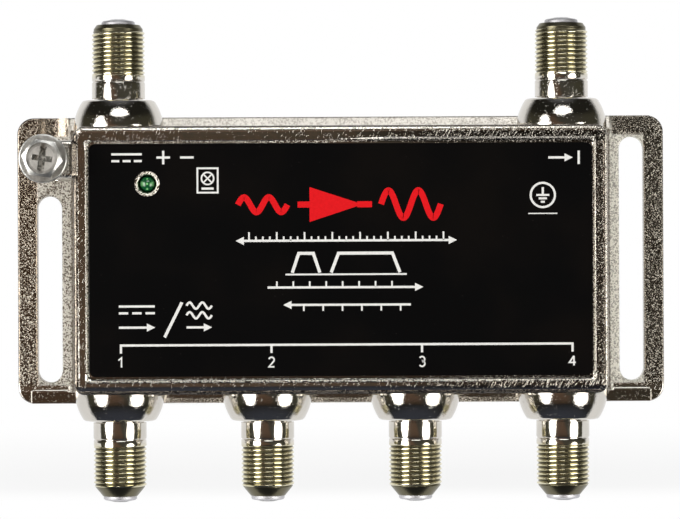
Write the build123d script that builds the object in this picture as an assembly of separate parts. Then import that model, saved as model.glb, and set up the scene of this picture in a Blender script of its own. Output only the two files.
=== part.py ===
from build123d import *
from math import hypot, radians, sqrt, tan
import os

# A coaxial distribution amplifier with six threaded ports, in a die-cast housing.
# It is upright, as on a wall. X is to the right, Z is up and the front faces -Y.
# The back lies on the plane Y = 0, and the origin is the middle of the back.
# Sizes are in millimetres. A depth is a distance in front of the back plane.

# Label and its recess
label_width = 89.2
label_height = 41.3
label_thickness = 0.35
label_corner = 1.0
label_margin = 0.5
recess_depth = 0.6
recess_lip_round = 0.3

# Front box
border_side = 2.4
border_end = 2.7
front_corner = 2.0
front_edge_round = 1.2
wall_draft = 0.5
side_wall = 2.0
front_wall = 2.2
cavity_corner = 1.5
cut_overrun = 1.0

# Flange
ear_width = 11.5
flange_ledge = 2.25
flange_thickness = 2.75
flange_corner = 3.0
flange_edge_round = 0.35

# Back cover and its solder
cover_thickness = 0.8
cover_ledge = 1.0
cover_clearance = 0.2
cover_sink = 0.15
seam_height = 0.45
seam_width = 1.2
bead_round = 0.3

# Mounting slots and the raised strips along the flange's upper and lower edges
slot_edge_distance = 5.85
slot_width = 4.5
slot_end_margin = 3.85
slot_block_gap = 2.85
strip_end_margin = 2.3
strip_height = 2.6
strip_rise = 0.35
strip_corner = 0.4
strip_edge_round = 0.25
strip_channel_gap = 0.3

# Ground block, wire hole and screw
block_height = 6.8
block_drop = 2.4
block_edge_round = 0.8
screw_edge_distance = 6.6
wire_hole_radius = 2.1
wire_hole_depth = 6.3
wire_channel_width = 5.5
screw_major_radius = 2.083
screw_pitch = 0.79375
screw_crest_share = 0.125
screw_thread_share = 0.6134
screw_rise = 2.975
screw_tip_taper = 0.8
screw_running_clearance = 0.05
screw_wire_gap = 0.25
screw_hex_width = 6.35
screw_hex_height = 1.9
screw_hex_chamfer = 0.45
screw_flange_radius = 4.3
screw_flange_thickness = 0.7
screw_flange_round = 0.25
screw_dish_radius = 2.75
screw_dish_depth = 0.35
screw_slot_width = 1.2
screw_slot_length = 5.2
screw_slot_depth = 0.9
screw_cross_width = 1.0
screw_cross_length = 3.6
screw_cross_depth = 1.3
screw_slot_tilt = -8
washer_outer_radius = 4.15
washer_ring_width = 1.1
washer_thickness = 0.5
washer_running_clearance = 0.07
washer_head_gap = 0.05
washer_teeth = 8
washer_notch_width = 0.7

# Ports
port_side_margin = 7.495
boss_base_radius = 8.1
boss_back_margin = 1.4
boss_front_margin = 3.4
boss_height = 5.05
boss_wall = 1.25
boss_bulge = 0.35
boss_top_round = 0.7
boss_root = 1.0
thread_radius = 4.7625
thread_pitch = 0.79375
thread_ridges = 10
thread_crest_share = 0.385
thread_depth_share = 0.44
neck_step = 0.04
neck_length = 3.35
neck_chamfer = 0.2
undercut_depth = 0.4
undercut_width = 0.3
relief_step = 0.02
relief_length = 1.65
relief_gap = 0.36
nose_length = 2.2
upper_taper_length = 1.2
upper_nose_radius = 3.92
lower_taper_length = 2.0
lower_nose_radius = 3.12
lip_radius = 3.0
lip_height = 0.75
lip_round = 0.25
lip_wall = 0.55
mouth_depth = 1.6
barrel_wall = 0.75
shank_step = 0.4
press_clearance = 0.02

# Port insulators and centre contacts
insulator_clearance = 0.03
insulator_dome = 0.3
insulator_floor = 1.65
entry_radius = 0.75
entry_flare = 0.25
contact_radius = 1.0
contact_bore_radius = 0.5
contact_solid_length = 5.4
contact_clearance = 0.05
contact_gap = 0.7
stem_radius = 0.45
tail_inset = 1.55
tail_projection = 0.8
tail_hole_clearance = 0.15

# Circuit board
board_thickness = 1.6
board_back_depth = 4.2
board_clearance = 0.6
board_corner = 1.2
post_radius = 2.6
post_edge_distance = 3.75
board_screw_radius = 1.25
board_screw_length = 7.0
board_screw_head_radius = 2.5
board_screw_head_height = 1.5
board_screw_head_round = 0.5
board_hole_clearance = 0.2

# Indicator lamp
lamp_side_distance = 10.3
lamp_top_distance = 7.05
lens_radius = 1.5
lens_length = 5.3
lens_flange_radius = 1.9
lens_flange_thickness = 1.0
lens_sink = 0.4
lens_hole_clearance = 0.1
lens_hole_round = 0.35
label_hole_radius = 2.25
lead_radius = 0.25
lead_spacing = 2.54
spacer_radius = 2.4
spacer_hole_clearance = 0.1

# Parts on the board
chip_length = 6.0
chip_width = 5.0
chip_height = 1.75
chip_leg_length = 0.9
chip_leg_width = 0.45
chip_leg_thickness = 0.25
chip_leg_pitch = 1.27
chip_legs = 4
regulator_length = 6.2
regulator_width = 6.6
regulator_height = 2.3
regulator_tab_length = 2.0
regulator_tab_thickness = 0.5
can_radius = 4.0
can_height = 9.5
can_base_side = 8.6
can_base_height = 1.0
can_edge_round = 0.5
choke_radius = 4.0
choke_height = 8.0
choke_flange = 1.2
choke_neck_radius = 2.2
choke_winding_radius = 3.6
core_length = 7.0
core_width = 6.0
core_height = 4.0
core_hole_radius = 0.8
core_hole_spacing = 3.0
winding_wire_radius = 0.3
coil_radius = 2.0
coil_wall = 0.6
coil_length = 5.0
arrester_radius = 2.75
arrester_length = 6.0
arrester_cap_length = 1.2
arrester_groove = 0.3
shield_length = 34.0
shield_headroom = 2.5
shield_thickness = 0.5
shield_foot = 2.0
small_part_length = 1.6
small_part_width = 0.8
small_part_height = 0.6

# Places on the board, as shares of its half width and half height
chip_place_shares = [(0.18, 0.42), (0.55, 0.42)]
regulator_place_share = (-0.52, 0.12)
can_place_shares = [(-0.30, 0.48), (-0.09, 0.48)]
choke_place_share = (-0.76, 0.10)
core_place_shares = [(0.0, -0.30), (-0.44, -0.30), (0.44, -0.30)]
coil_place_shares = [(0.06, 0.78), (0.22, 0.78), (0.80, 0.02), (0.80, -0.28)]
arrester_place_share = (0.80, 0.42)
shield_place_share = (0.10, 0.08)
capacitor_place_shares = [
    (0.05, -0.02), (0.38, 0.20), (0.32, 0.62), (0.42, 0.80), (0.62, 0.12), (-0.18, -0.62),
    (0.18, -0.62), (-0.76, -0.46), (0.76, -0.56), (-0.40, 0.80), (-0.12, 0.84), (-0.62, 0.52),
]
resistor_place_shares = [
    (-0.10, -0.05), (0.40, 0.45), (0.70, 0.62), (-0.16, -0.40), (0.16, -0.40),
    (-0.62, -0.55), (0.62, -0.55), (-0.46, 0.62), (0.50, 0.62), (-0.90, -0.30),
]

# Columns of the ports, as shares of the port pitch
output_column_shares = [-1.5, -0.5, 0.5, 1.5]
power_column_share = output_column_shares[0]
input_column_share = output_column_shares[-1]

# Worked out from the sizes above
front_width = label_width + 2 * (label_margin + border_side)
front_height = label_height + 2 * (label_margin + border_end)
flange_width = front_width + 2 * ear_width
flange_height = front_height + 2 * flange_ledge
port_axis_depth = boss_base_radius + boss_back_margin
housing_depth = port_axis_depth + boss_base_radius + boss_front_margin
port_pitch = (front_width - 2 * port_side_margin) / (output_column_shares[-1] - output_column_shares[0])
cavity_width = front_width - 2 * side_wall
cavity_height = front_height - 2 * side_wall
cavity_half_height = cavity_height / 2
cavity_depth = housing_depth - front_wall
rebate_depth = cover_thickness + seam_height + cover_sink
rebate_width = cavity_width + 2 * cover_ledge
rebate_height = cavity_height + 2 * cover_ledge
rebate_corner = cavity_corner + cover_ledge
recess_floor = housing_depth - recess_depth
label_face = recess_floor + label_thickness
board_front_depth = board_back_depth + board_thickness
shield_height = cavity_depth - board_front_depth - shield_headroom
board_width = cavity_width - 2 * board_clearance
board_height = cavity_height - 2 * board_clearance
slot_bottom = slot_end_margin - flange_height / 2
right_slot_top = -slot_bottom
slot_offset = flange_width / 2 - slot_edge_distance
block_middle_height = front_height / 2 - block_drop - block_height / 2
left_slot_top = block_middle_height - block_height / 2 - slot_block_gap
ground_screw_offset = flange_width / 2 - screw_edge_distance
lamp_offset = label_width / 2 - lamp_side_distance
lamp_height = label_height / 2 - lamp_top_distance
flank = tan(radians(30))
thread_root_radius = thread_radius - thread_depth_share * thread_pitch
neck_radius = thread_radius + neck_step
relief_radius = neck_radius - relief_step
barrel_shank_radius = neck_radius + shank_step
barrel_bore_radius = thread_root_radius - barrel_wall
boss_top_radius = barrel_shank_radius + boss_wall
mouth_radius = lip_radius - lip_wall
boss_reach = front_height / 2 + boss_height
neck_end = boss_reach + neck_length
thread_start = neck_end + relief_length
thread_end = thread_start + (thread_ridges - 1) * thread_pitch
relief_end = thread_start - thread_crest_share * thread_pitch / 2 - relief_gap
port_reach = thread_end + nose_length
lip_start = port_reach - lip_height
contact_top = port_reach - mouth_depth - contact_gap
screw_root_radius = screw_major_radius - screw_thread_share * screw_pitch
screw_tip_depth = wire_hole_depth + wire_hole_radius + screw_wire_gap
washer_depth = housing_depth + screw_rise
screw_seat_depth = washer_depth + washer_thickness + washer_head_gap
screw_length = screw_seat_depth - screw_tip_depth
tail_reach = port_axis_depth - board_back_depth + tail_projection
lens_tip_depth = label_face - lens_sink
lens_base_depth = lens_tip_depth - lens_length


def front_plane(depth):
    """The plane parallel to the front at a depth, whose normal points to the front."""
    return Plane.XZ.offset(depth)


def slab(width, height, corner, from_depth, to_depth, x=0, z=0):
    """A plate parallel to the front, with rounded corners."""
    outline = front_plane(from_depth) * Pos(x, z) * RectangleRounded(width, height, corner)
    return extrude(outline, to_depth - from_depth)


def block(width, height, from_depth, to_depth, x=0, z=0):
    """A plain block with its edges along the axes."""
    outline = front_plane(from_depth) * Pos(x, z) * Rectangle(width, height)
    return extrude(outline, to_depth - from_depth)


def rod(radius, from_depth, to_depth, x=0, z=0):
    """A round rod square to the front."""
    outline = front_plane(from_depth) * Pos(x, z) * Circle(radius)
    return extrude(outline, to_depth - from_depth)


def turned(points):
    """A solid turned about Z from an outline of radius and height pairs."""
    outline = Polyline([(radius, 0, height) for radius, height in points], close=True)
    return revolve(make_face(outline), Axis.Z)


def upright_rod(radius, bottom, top, x=0, y=0):
    """A round rod along Z."""
    outline = Pos(x, y, bottom) * Circle(radius)
    return extrude(outline, top - bottom)


def level_rod(radius, length, x, depth, z):
    """A round rod along X, given by its middle."""
    return Pos(x, -depth, z) * Rot(0, 90, 0) * Cylinder(radius, length)


def outward(solid, x, depth, z):
    """Move a solid that was made along Z so that it points out of the front."""
    return Plane(origin=(x, -depth, z), x_dir=(1, 0, 0), z_dir=(0, -1, 0)) * solid


def at_port(solid, column_share, top):
    """Move a solid that was made along Z to a port of the upper or lower row."""
    turn = Rot(0, 0, 0) if top else Rot(0, 180, 0)
    return Pos(column_share * port_pitch, -port_axis_depth, 0) * turn * solid


def front_edges(solid):
    """The edges about the frontmost face of a solid."""
    return solid.faces().sort_by(Axis.Y)[0].edges()


def ridge_points(first, count, pitch, crest_share, crest_radius, root_radius):
    """Outline points of parallel thread ridges with flat crests, from the first one up."""
    half_crest = crest_share * pitch / 2
    slope = (crest_radius - root_radius) * flank
    points = []
    for number in range(count):
        middle = first + number * pitch
        points.append((root_radius, middle - half_crest - slope))
        points.append((crest_radius, middle - half_crest))
        points.append((crest_radius, middle + half_crest))
        points.append((root_radius, middle + half_crest + slope))
    return points


def on_board(place_share):
    """A place on the board's front, from its shares of the half width and half height."""
    return place_share[0] * board_width / 2, place_share[1] * board_height / 2


def post_places():
    """The middles of the four posts that carry the board."""
    return [
        (side * port_pitch, level * (board_height / 2 - post_edge_distance))
        for side in (-1, 1)
        for level in (-1, 1)
    ]


def flange():
    """The mounting plate, with a slot at each side and rounded front edges."""
    plate = slab(flange_width, flange_height, flange_corner, 0, flange_thickness)
    for side, top in ((-1, left_slot_top), (1, right_slot_top)):
        middle = Pos(side * slot_offset, (slot_bottom + top) / 2)
        outline = front_plane(-cut_overrun) * middle * SlotOverall(top - slot_bottom, slot_width, 90)
        plate -= extrude(outline, flange_thickness + 2 * cut_overrun)
    return fillet(front_edges(plate), flange_edge_round)


def front_box():
    """The drafted box in front of the flange, with a rounded rim and the label's recess."""
    base = front_plane(0) * RectangleRounded(
        front_width + 2 * wall_draft, front_height + 2 * wall_draft, front_corner + wall_draft
    )
    top = front_plane(housing_depth) * RectangleRounded(front_width, front_height, front_corner)
    box = loft([base.face(), top.face()], ruled=True)
    box = fillet(front_edges(box), front_edge_round)
    box -= slab(
        label_width + 2 * label_margin, label_height + 2 * label_margin, label_corner + label_margin,
        recess_floor, housing_depth + cut_overrun,
    )
    rim = box.faces().sort_by(Axis.Y)[0].inner_wires()[0].edges()
    return fillet(rim, recess_lip_round)


def boss():
    """The domed boss that carries a port, along Z."""
    root = front_height / 2 - boss_root
    shoulder = front_height / 2 + wall_draft
    middle = ((boss_base_radius + boss_top_radius) / 2 + boss_bulge, 0, (shoulder + boss_reach) / 2)
    outline = [
        Polyline([
            (0, 0, boss_reach), (0, 0, root), (boss_base_radius, 0, root), (boss_base_radius, 0, shoulder),
        ]),
        ThreePointArc((boss_base_radius, 0, shoulder), middle, (boss_top_radius, 0, boss_reach)),
        Line((boss_top_radius, 0, boss_reach), (0, 0, boss_reach)),
    ]
    dome = revolve(make_face(Curve() + outline), Axis.Z)
    rim = dome.edges().filter_by(GeomType.CIRCLE).group_by(Axis.Z)[-1]
    return fillet(rim, boss_top_round)


def ground_block():
    """The block beside the box that holds the ground screw, flush with the box's front."""
    reach = ground_screw_offset - front_width / 2 + front_edge_round
    length = 2 * (reach + block_height)
    middle = Pos(length / 2 - ground_screw_offset - block_height / 2, block_middle_height)
    bar = extrude(front_plane(0) * middle * SlotOverall(length, block_height), housing_depth)
    bar = fillet(front_edges(bar), block_edge_round)
    keep = block(
        reach + block_height / 2, block_height, 0, housing_depth,
        (reach - block_height / 2) / 2 - ground_screw_offset, block_middle_height,
    )
    return bar & keep


def wire_channel():
    """The shallow round-bottomed channel that leads a wire over the flange into the block."""
    radius = hypot(wire_hole_depth - flange_thickness, wire_channel_width / 2)
    bottom = block_middle_height + block_height / 2
    top = flange_height / 2 + cut_overrun
    tool = upright_rod(radius, bottom, top, -ground_screw_offset, -wire_hole_depth)
    keep = block(
        2 * radius, top - bottom, 0, flange_thickness,
        -ground_screw_offset, (top + bottom) / 2,
    )
    return tool & keep


def edge_strip(left, right, level):
    """A raised strip along the flange's upper or lower edge, flush with that edge."""
    strip = slab(
        right - left, strip_height, strip_corner, flange_thickness / 2, flange_thickness + strip_rise,
        (left + right) / 2, level * (flange_height - strip_height) / 2,
    )
    return fillet(front_edges(strip), strip_edge_round)


def lens_hole():
    """The tool for the lamp's hole, with a flared mouth at the recess floor."""
    radius = lens_radius + lens_hole_clearance
    mouth = radius + lens_hole_round
    outline = [
        Polyline([
            (0, 0, cavity_depth - cut_overrun), (radius, 0, cavity_depth - cut_overrun),
            (radius, 0, recess_floor - lens_hole_round),
        ]),
        ThreePointArc(
            (radius, 0, recess_floor - lens_hole_round),
            (mouth - lens_hole_round / sqrt(2), 0, recess_floor - lens_hole_round * (1 - 1 / sqrt(2))),
            (mouth, 0, recess_floor),
        ),
        Polyline([
            (mouth, 0, recess_floor), (mouth, 0, housing_depth), (0, 0, housing_depth),
            (0, 0, cavity_depth - cut_overrun),
        ]),
    ]
    tool = revolve(make_face(Curve() + outline), Axis.Z)
    return outward(tool, -lamp_offset, 0, lamp_height)


def housing():
    """The casting: flange, box, port bosses, ground block and board posts."""
    strip_end = flange_width / 2 - strip_end_margin
    channel_side = wire_channel_width / 2 + strip_channel_gap - ground_screw_offset
    casting = flange() + front_box() + ground_block()
    casting += edge_strip(-strip_end, strip_end, -1)
    casting += edge_strip(channel_side, strip_end, 1)
    dome = boss()
    for column_share, top in port_places():
        casting += at_port(dome, column_share, top)
    casting -= slab(cavity_width, cavity_height, cavity_corner, -cut_overrun, cavity_depth)
    casting -= slab(rebate_width, rebate_height, rebate_corner, -cut_overrun, rebate_depth)
    for x, z in post_places():
        casting += rod(post_radius, board_front_depth, cavity_depth, x, z)
        casting -= rod(
            board_screw_radius + press_clearance,
            board_front_depth, board_back_depth + board_screw_length + board_hole_clearance, x, z,
        )
    bore = upright_rod(
        barrel_shank_radius + press_clearance, cavity_half_height - side_wall / 2, boss_reach + cut_overrun
    )
    for column_share, top in port_places():
        casting -= at_port(bore, column_share, top)
    casting -= wire_channel()
    casting -= upright_rod(
        wire_hole_radius,
        block_middle_height - block_height / 2 - cut_overrun,
        block_middle_height + block_height / 2 + cut_overrun,
        -ground_screw_offset, -wire_hole_depth,
    )
    casting -= rod(
        screw_major_radius + screw_running_clearance,
        wire_hole_depth, housing_depth + cut_overrun, -ground_screw_offset, block_middle_height,
    )
    casting -= lens_hole()
    return casting


def back_cover():
    """The sheet that closes the back, on the ledge of the housing's rebate."""
    return slab(
        rebate_width - 2 * cover_clearance, rebate_height - 2 * cover_clearance,
        rebate_corner - cover_clearance, rebate_depth - cover_thickness, rebate_depth,
    )


def solder_seam():
    """The bead of solder round the cover's edge."""
    face_depth = rebate_depth - cover_thickness
    bead = slab(rebate_width, rebate_height, rebate_corner, cover_sink, face_depth)
    bead -= slab(
        rebate_width - 2 * seam_width, rebate_height - 2 * seam_width,
        rebate_corner - seam_width, cover_sink - cut_overrun, face_depth + cut_overrun,
    )
    inner = bead.faces().sort_by(Axis.Y)[-1].inner_wires()[0].edges()
    return fillet(inner, bead_round)


def front_label():
    """The label plate, with a round hole for the lamp."""
    plate = slab(label_width, label_height, label_corner, recess_floor, label_face)
    return plate - rod(label_hole_radius, recess_floor, label_face, -lamp_offset, lamp_height)


def ground_screw():
    """The hexagon washer head screw, with a dished top, a slot and a cross recess."""
    crests = int((screw_length - screw_tip_taper) / screw_pitch) - 1
    first = screw_tip_taper - screw_length + screw_pitch / 2
    shank = turned(
        [(0, 0), (0, -screw_length), (screw_root_radius, -screw_length)]
        + ridge_points(
            first, crests, screw_pitch, screw_crest_share, screw_major_radius, screw_root_radius
        )
        + [(screw_root_radius, 0)]
    )
    head_top = screw_flange_thickness + screw_hex_height
    collar = upright_rod(screw_flange_radius, 0, screw_flange_thickness)
    collar = fillet(collar.edges().filter_by(GeomType.CIRCLE).group_by(Axis.Z)[-1], screw_flange_round)
    hexagon = extrude(RegularPolygon(screw_hex_width / 2, 6, major_radius=False), head_top)
    corner_radius = screw_hex_width / sqrt(3)
    hexagon &= turned([
        (0, 0), (corner_radius, 0), (corner_radius, head_top - screw_hex_chamfer),
        (corner_radius - 2 * screw_hex_chamfer, head_top), (0, head_top),
    ])
    head = collar + hexagon - upright_rod(screw_dish_radius, head_top - screw_dish_depth, head_top)
    slot_floor = head_top - screw_dish_depth - screw_slot_depth
    cross_floor = head_top - screw_dish_depth - screw_cross_depth
    head -= Pos(0, 0, slot_floor) * extrude(
        Rectangle(screw_slot_width, screw_slot_length), screw_slot_depth + screw_dish_depth
    )
    for width, length in ((screw_cross_width, screw_cross_length), (screw_cross_length, screw_cross_width)):
        head -= Pos(0, 0, cross_floor) * extrude(Rectangle(width, length), head_top - cross_floor)
    screw = Rot(0, 0, screw_slot_tilt) * (head + shank)
    return outward(screw, -ground_screw_offset, screw_seat_depth, block_middle_height)


def ground_lock_washer():
    """The washer with inner teeth that stays under the screw's head."""
    hole_radius = screw_major_radius + washer_running_clearance
    disc = upright_rod(washer_outer_radius, 0, washer_thickness)
    disc -= upright_rod(hole_radius, 0, washer_thickness)
    notch_reach = washer_outer_radius - washer_ring_width
    notch = Pos(notch_reach / 2, 0, washer_thickness / 2) * Box(
        notch_reach, washer_notch_width, washer_thickness
    )
    for number in range(washer_teeth):
        disc -= Rot(0, 0, number * 360 / washer_teeth) * notch
    return outward(disc, -ground_screw_offset, washer_depth, block_middle_height)


def port_barrel(taper_length, nose_radius):
    """The threaded barrel of a port, along Z, whose last ridges run out in the nose's taper."""
    seat = boss_reach
    barrel = turned(
        [
            (barrel_bore_radius, cavity_half_height),
            (barrel_shank_radius, cavity_half_height),
            (barrel_shank_radius, seat),
            (neck_radius - undercut_depth, seat),
            (neck_radius - undercut_depth, seat + undercut_width),
            (neck_radius, seat + undercut_width),
            (neck_radius, neck_end - neck_chamfer),
            (neck_radius - neck_chamfer, neck_end),
            (relief_radius, neck_end + neck_chamfer),
            (relief_radius, relief_end),
        ]
        + ridge_points(
            thread_start, thread_ridges, thread_pitch, thread_crest_share,
            thread_radius, thread_root_radius,
        )
        + [
            (thread_root_radius, lip_start),
            (lip_radius, lip_start),
            (lip_radius, port_reach - lip_round),
            (lip_radius - lip_round, port_reach),
            (mouth_radius, port_reach),
            (mouth_radius, port_reach - mouth_depth),
            (barrel_bore_radius, port_reach - mouth_depth),
        ]
    )
    return barrel - turned([
        (thread_radius, lip_start - taper_length),
        (nose_radius, lip_start),
        (nose_radius, lip_start + cut_overrun),
        (thread_radius + cut_overrun, lip_start + cut_overrun),
        (thread_radius + cut_overrun, lip_start - taper_length),
    ])


def port_insulator():
    """The insulator of a port, along Z, with a pocket for the centre contact."""
    body_radius = barrel_bore_radius - insulator_clearance
    shoulder = port_reach - mouth_depth
    nose_top = port_reach + insulator_dome
    pocket_radius = contact_radius + contact_clearance
    pocket_floor = cavity_half_height + insulator_floor
    return turned([
        (stem_radius + contact_clearance, cavity_half_height),
        (body_radius, cavity_half_height),
        (body_radius, shoulder),
        (mouth_radius - insulator_clearance, shoulder),
        (mouth_radius - insulator_clearance, port_reach),
        (mouth_radius / 2, nose_top),
        (entry_radius + entry_flare, nose_top),
        (entry_radius, shoulder),
        (pocket_radius, shoulder),
        (pocket_radius, pocket_floor),
        (stem_radius + contact_clearance, pocket_floor),
    ])


def port_contact():
    """The centre contact of a port, along Z, with a tail that turns back to the board."""
    floor = cavity_half_height + insulator_floor
    elbow = cavity_half_height - tail_inset
    sleeve = upright_rod(contact_radius, floor, contact_top)
    sleeve -= upright_rod(contact_bore_radius, floor + contact_solid_length, contact_top)
    stem = upright_rod(stem_radius, elbow, floor)
    tail = Pos(0, tail_reach / 2, elbow) * Rot(90, 0, 0) * Cylinder(stem_radius, tail_reach)
    return sleeve + stem + Pos(0, 0, elbow) * Sphere(stem_radius) + tail


def port_places():
    """The six ports, as a share of the port pitch and whether the port is in the upper row."""
    upper = [(power_column_share, True), (input_column_share, True)]
    return upper + [(share, False) for share in output_column_shares]


def circuit_board():
    """The board, with holes for its screws, the ports' tails and the lamp's leads."""
    board = slab(board_width, board_height, board_corner, board_back_depth, board_front_depth)
    for x, z in post_places():
        board -= rod(board_screw_radius + board_hole_clearance, board_back_depth, board_front_depth, x, z)
    elbow = cavity_half_height - tail_inset
    for share, top in port_places():
        z = elbow if top else -elbow
        hole_radius = stem_radius + tail_hole_clearance
        board -= rod(hole_radius, board_back_depth, board_front_depth, share * port_pitch, z)
    for x in lead_columns():
        hole_radius = lead_radius + tail_hole_clearance
        board -= rod(hole_radius, board_back_depth, board_front_depth, x, lamp_height)
    return board


def board_screws():
    """The four screws that hold the board to its posts."""
    screws = []
    for x, z in post_places():
        head = rod(
            board_screw_head_radius, board_back_depth - board_screw_head_height, board_back_depth, x, z
        )
        rim = head.faces().sort_by(Axis.Y)[-1].edges()
        head = fillet(rim, board_screw_head_round)
        shank = rod(board_screw_radius, board_back_depth, board_back_depth + board_screw_length, x, z)
        screws.append(head + shank)
    return Compound([screw.solid() for screw in screws])


def lead_columns():
    """The two columns of the lamp's leads."""
    return [-lamp_offset - lead_spacing / 2, -lamp_offset + lead_spacing / 2]


def led_lens():
    """The lamp's body, with a round tip and a collar at its foot."""
    crown = lens_tip_depth - lens_radius
    stalk = rod(lens_radius, lens_base_depth, crown, -lamp_offset, lamp_height)
    collar = rod(
        lens_flange_radius, lens_base_depth, lens_base_depth + lens_flange_thickness,
        -lamp_offset, lamp_height,
    )
    return stalk + collar + Pos(-lamp_offset, -crown, lamp_height) * Sphere(lens_radius)


def led_leads():
    """The lamp's two leads, from its foot through the board."""
    leads = [
        rod(lead_radius, board_back_depth - tail_projection, lens_base_depth, x, lamp_height)
        for x in lead_columns()
    ]
    return Compound([lead.solid() for lead in leads])


def led_spacer():
    """The spacer that holds the lamp up from the board."""
    spacer = rod(spacer_radius, board_front_depth, lens_base_depth, -lamp_offset, lamp_height)
    for x in lead_columns():
        hole_radius = lead_radius + spacer_hole_clearance
        spacer -= rod(hole_radius, board_front_depth, lens_base_depth, x, lamp_height)
    return spacer


def amplifier_chips():
    """The two amplifier chips, each with four legs at each side."""
    chips = []
    for place_share in chip_place_shares:
        x, z = on_board(place_share)
        chip = block(chip_length, chip_width, board_front_depth, board_front_depth + chip_height, x, z)
        for number in range(chip_legs):
            leg_x = x + (number - (chip_legs - 1) / 2) * chip_leg_pitch
            chip += block(
                chip_leg_width, chip_width + 2 * chip_leg_length,
                board_front_depth, board_front_depth + chip_leg_thickness, leg_x, z,
            )
        chips.append(chip.solid())
    return Compound(chips)


def voltage_regulator():
    """The regulator, a flat block on a metal tab."""
    x, z = on_board(regulator_place_share)
    body = block(
        regulator_width, regulator_length, board_front_depth, board_front_depth + regulator_height, x, z
    )
    tab_z = z + (regulator_length + regulator_tab_length) / 2
    return body + block(
        regulator_width, regulator_tab_length,
        board_front_depth, board_front_depth + regulator_tab_thickness, x, tab_z,
    )


def electrolytic_capacitors():
    """The two can capacitors, each on a square foot."""
    cans = []
    for place_share in can_place_shares:
        x, z = on_board(place_share)
        can = rod(can_radius, board_front_depth, board_front_depth + can_height, x, z)
        can = fillet(front_edges(can), can_edge_round)
        foot = block(
            can_base_side, can_base_side, board_front_depth, board_front_depth + can_base_height, x, z
        )
        cans.append((can + foot).solid())
    return Compound(cans)


def choke_core():
    """The drum core of the power choke."""
    x, z = on_board(choke_place_share)
    foot_top = board_front_depth + choke_flange
    drum = rod(choke_radius, board_front_depth, foot_top, x, z)
    drum += rod(choke_neck_radius, board_front_depth, board_front_depth + choke_height, x, z)
    return drum + rod(
        choke_radius, board_front_depth + choke_height - choke_flange, board_front_depth + choke_height,
        x, z,
    )


def choke_winding():
    """The winding of the power choke, between the flanges of its core."""
    x, z = on_board(choke_place_share)
    low = board_front_depth + choke_flange
    high = board_front_depth + choke_height - choke_flange
    return rod(choke_winding_radius, low, high, x, z) - rod(choke_neck_radius, low, high, x, z)


def splitter_cores():
    """The three two-hole ferrite cores that divide the signal."""
    cores = []
    for place_share in core_place_shares:
        x, z = on_board(place_share)
        core = slab(
            core_length, core_width, core_height / 4, board_front_depth, board_front_depth + core_height,
            x, z,
        )
        for side in (-1, 1):
            hole_x = x + side * core_hole_spacing / 2
            hole_y = -board_front_depth - core_height / 2
            core -= upright_rod(
                core_hole_radius, z - core_width / 2 - cut_overrun, z + core_width / 2 + cut_overrun,
                hole_x, hole_y,
            )
        cores.append(core.solid())
    return Compound(cores)


def splitter_windings():
    """A turn of wire through both holes of each splitter core."""
    turns = []
    half_width = core_hole_spacing / 2
    half_length = core_width / 2 + 2 * winding_wire_radius
    corner = 2 * winding_wire_radius
    for place_share in core_place_shares:
        x, z = on_board(place_share)
        plane = Plane(
            origin=(x, -board_front_depth - core_height / 2, z), x_dir=(1, 0, 0), z_dir=(0, -1, 0)
        )
        outer = RectangleRounded(
            2 * half_width + 2 * winding_wire_radius, 2 * half_length + 2 * winding_wire_radius,
            corner + winding_wire_radius,
        )
        inner = RectangleRounded(
            2 * half_width - 2 * winding_wire_radius, 2 * half_length - 2 * winding_wire_radius,
            corner - winding_wire_radius,
        )
        ring = extrude(plane * (outer - inner), winding_wire_radius, both=True)
        turns.append(ring.solid())
    return Compound(turns)


def filter_coils():
    """The air-cored coils of the band filters, lying on the board."""
    coils = []
    for place_share in coil_place_shares:
        x, z = on_board(place_share)
        depth = board_front_depth + coil_radius
        coil = level_rod(coil_radius, coil_length, x, depth, z)
        coil -= level_rod(coil_radius - coil_wall, coil_length, x, depth, z)
        coils.append(coil.solid())
    return Compound(coils)


def surge_arrester():
    """The gas tube that guards the input, with a metal cap at each end."""
    x, z = on_board(arrester_place_share)
    depth = board_front_depth + arrester_radius
    tube = level_rod(arrester_radius - arrester_groove, arrester_length, x, depth, z)
    for side in (-1, 1):
        cap_x = x + side * (arrester_length - arrester_cap_length) / 2
        tube += level_rod(arrester_radius, arrester_cap_length, cap_x, depth, z)
    return tube


def shield_wall():
    """The sheet wall between the two amplifier stages, with a foot on the board."""
    x, z = on_board(shield_place_share)
    wall = block(
        shield_length, shield_thickness, board_front_depth, board_front_depth + shield_height, x, z
    )
    return wall + block(
        shield_length, shield_foot, board_front_depth, board_front_depth + shield_thickness,
        x, z + (shield_foot - shield_thickness) / 2,
    )


def small_parts(place_shares):
    """Small flat parts on the board, one at each place."""
    bits = []
    for place_share in place_shares:
        x, z = on_board(place_share)
        bit = block(
            small_part_length, small_part_width,
            board_front_depth, board_front_depth + small_part_height, x, z,
        )
        bits.append(bit.solid())
    return Compound(bits)


def write(shape, node):
    """Write one node to its own file."""
    export_step(shape, "parts/" + node + ".step")


def write_ports():
    """Write the barrel, insulator and contact of each port."""
    names = ["power", "input", "output_1", "output_2", "output_3", "output_4"]
    upper_barrel = port_barrel(upper_taper_length, upper_nose_radius)
    lower_barrel = port_barrel(lower_taper_length, lower_nose_radius)
    insulator = port_insulator()
    contact = port_contact()
    for name, (column_share, top) in zip(names, port_places()):
        barrel = upper_barrel if top else lower_barrel
        write(at_port(barrel, column_share, top), name + "_barrel")
        write(at_port(insulator, column_share, top), name + "_insulator")
        write(at_port(contact, column_share, top), name + "_contact")


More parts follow.
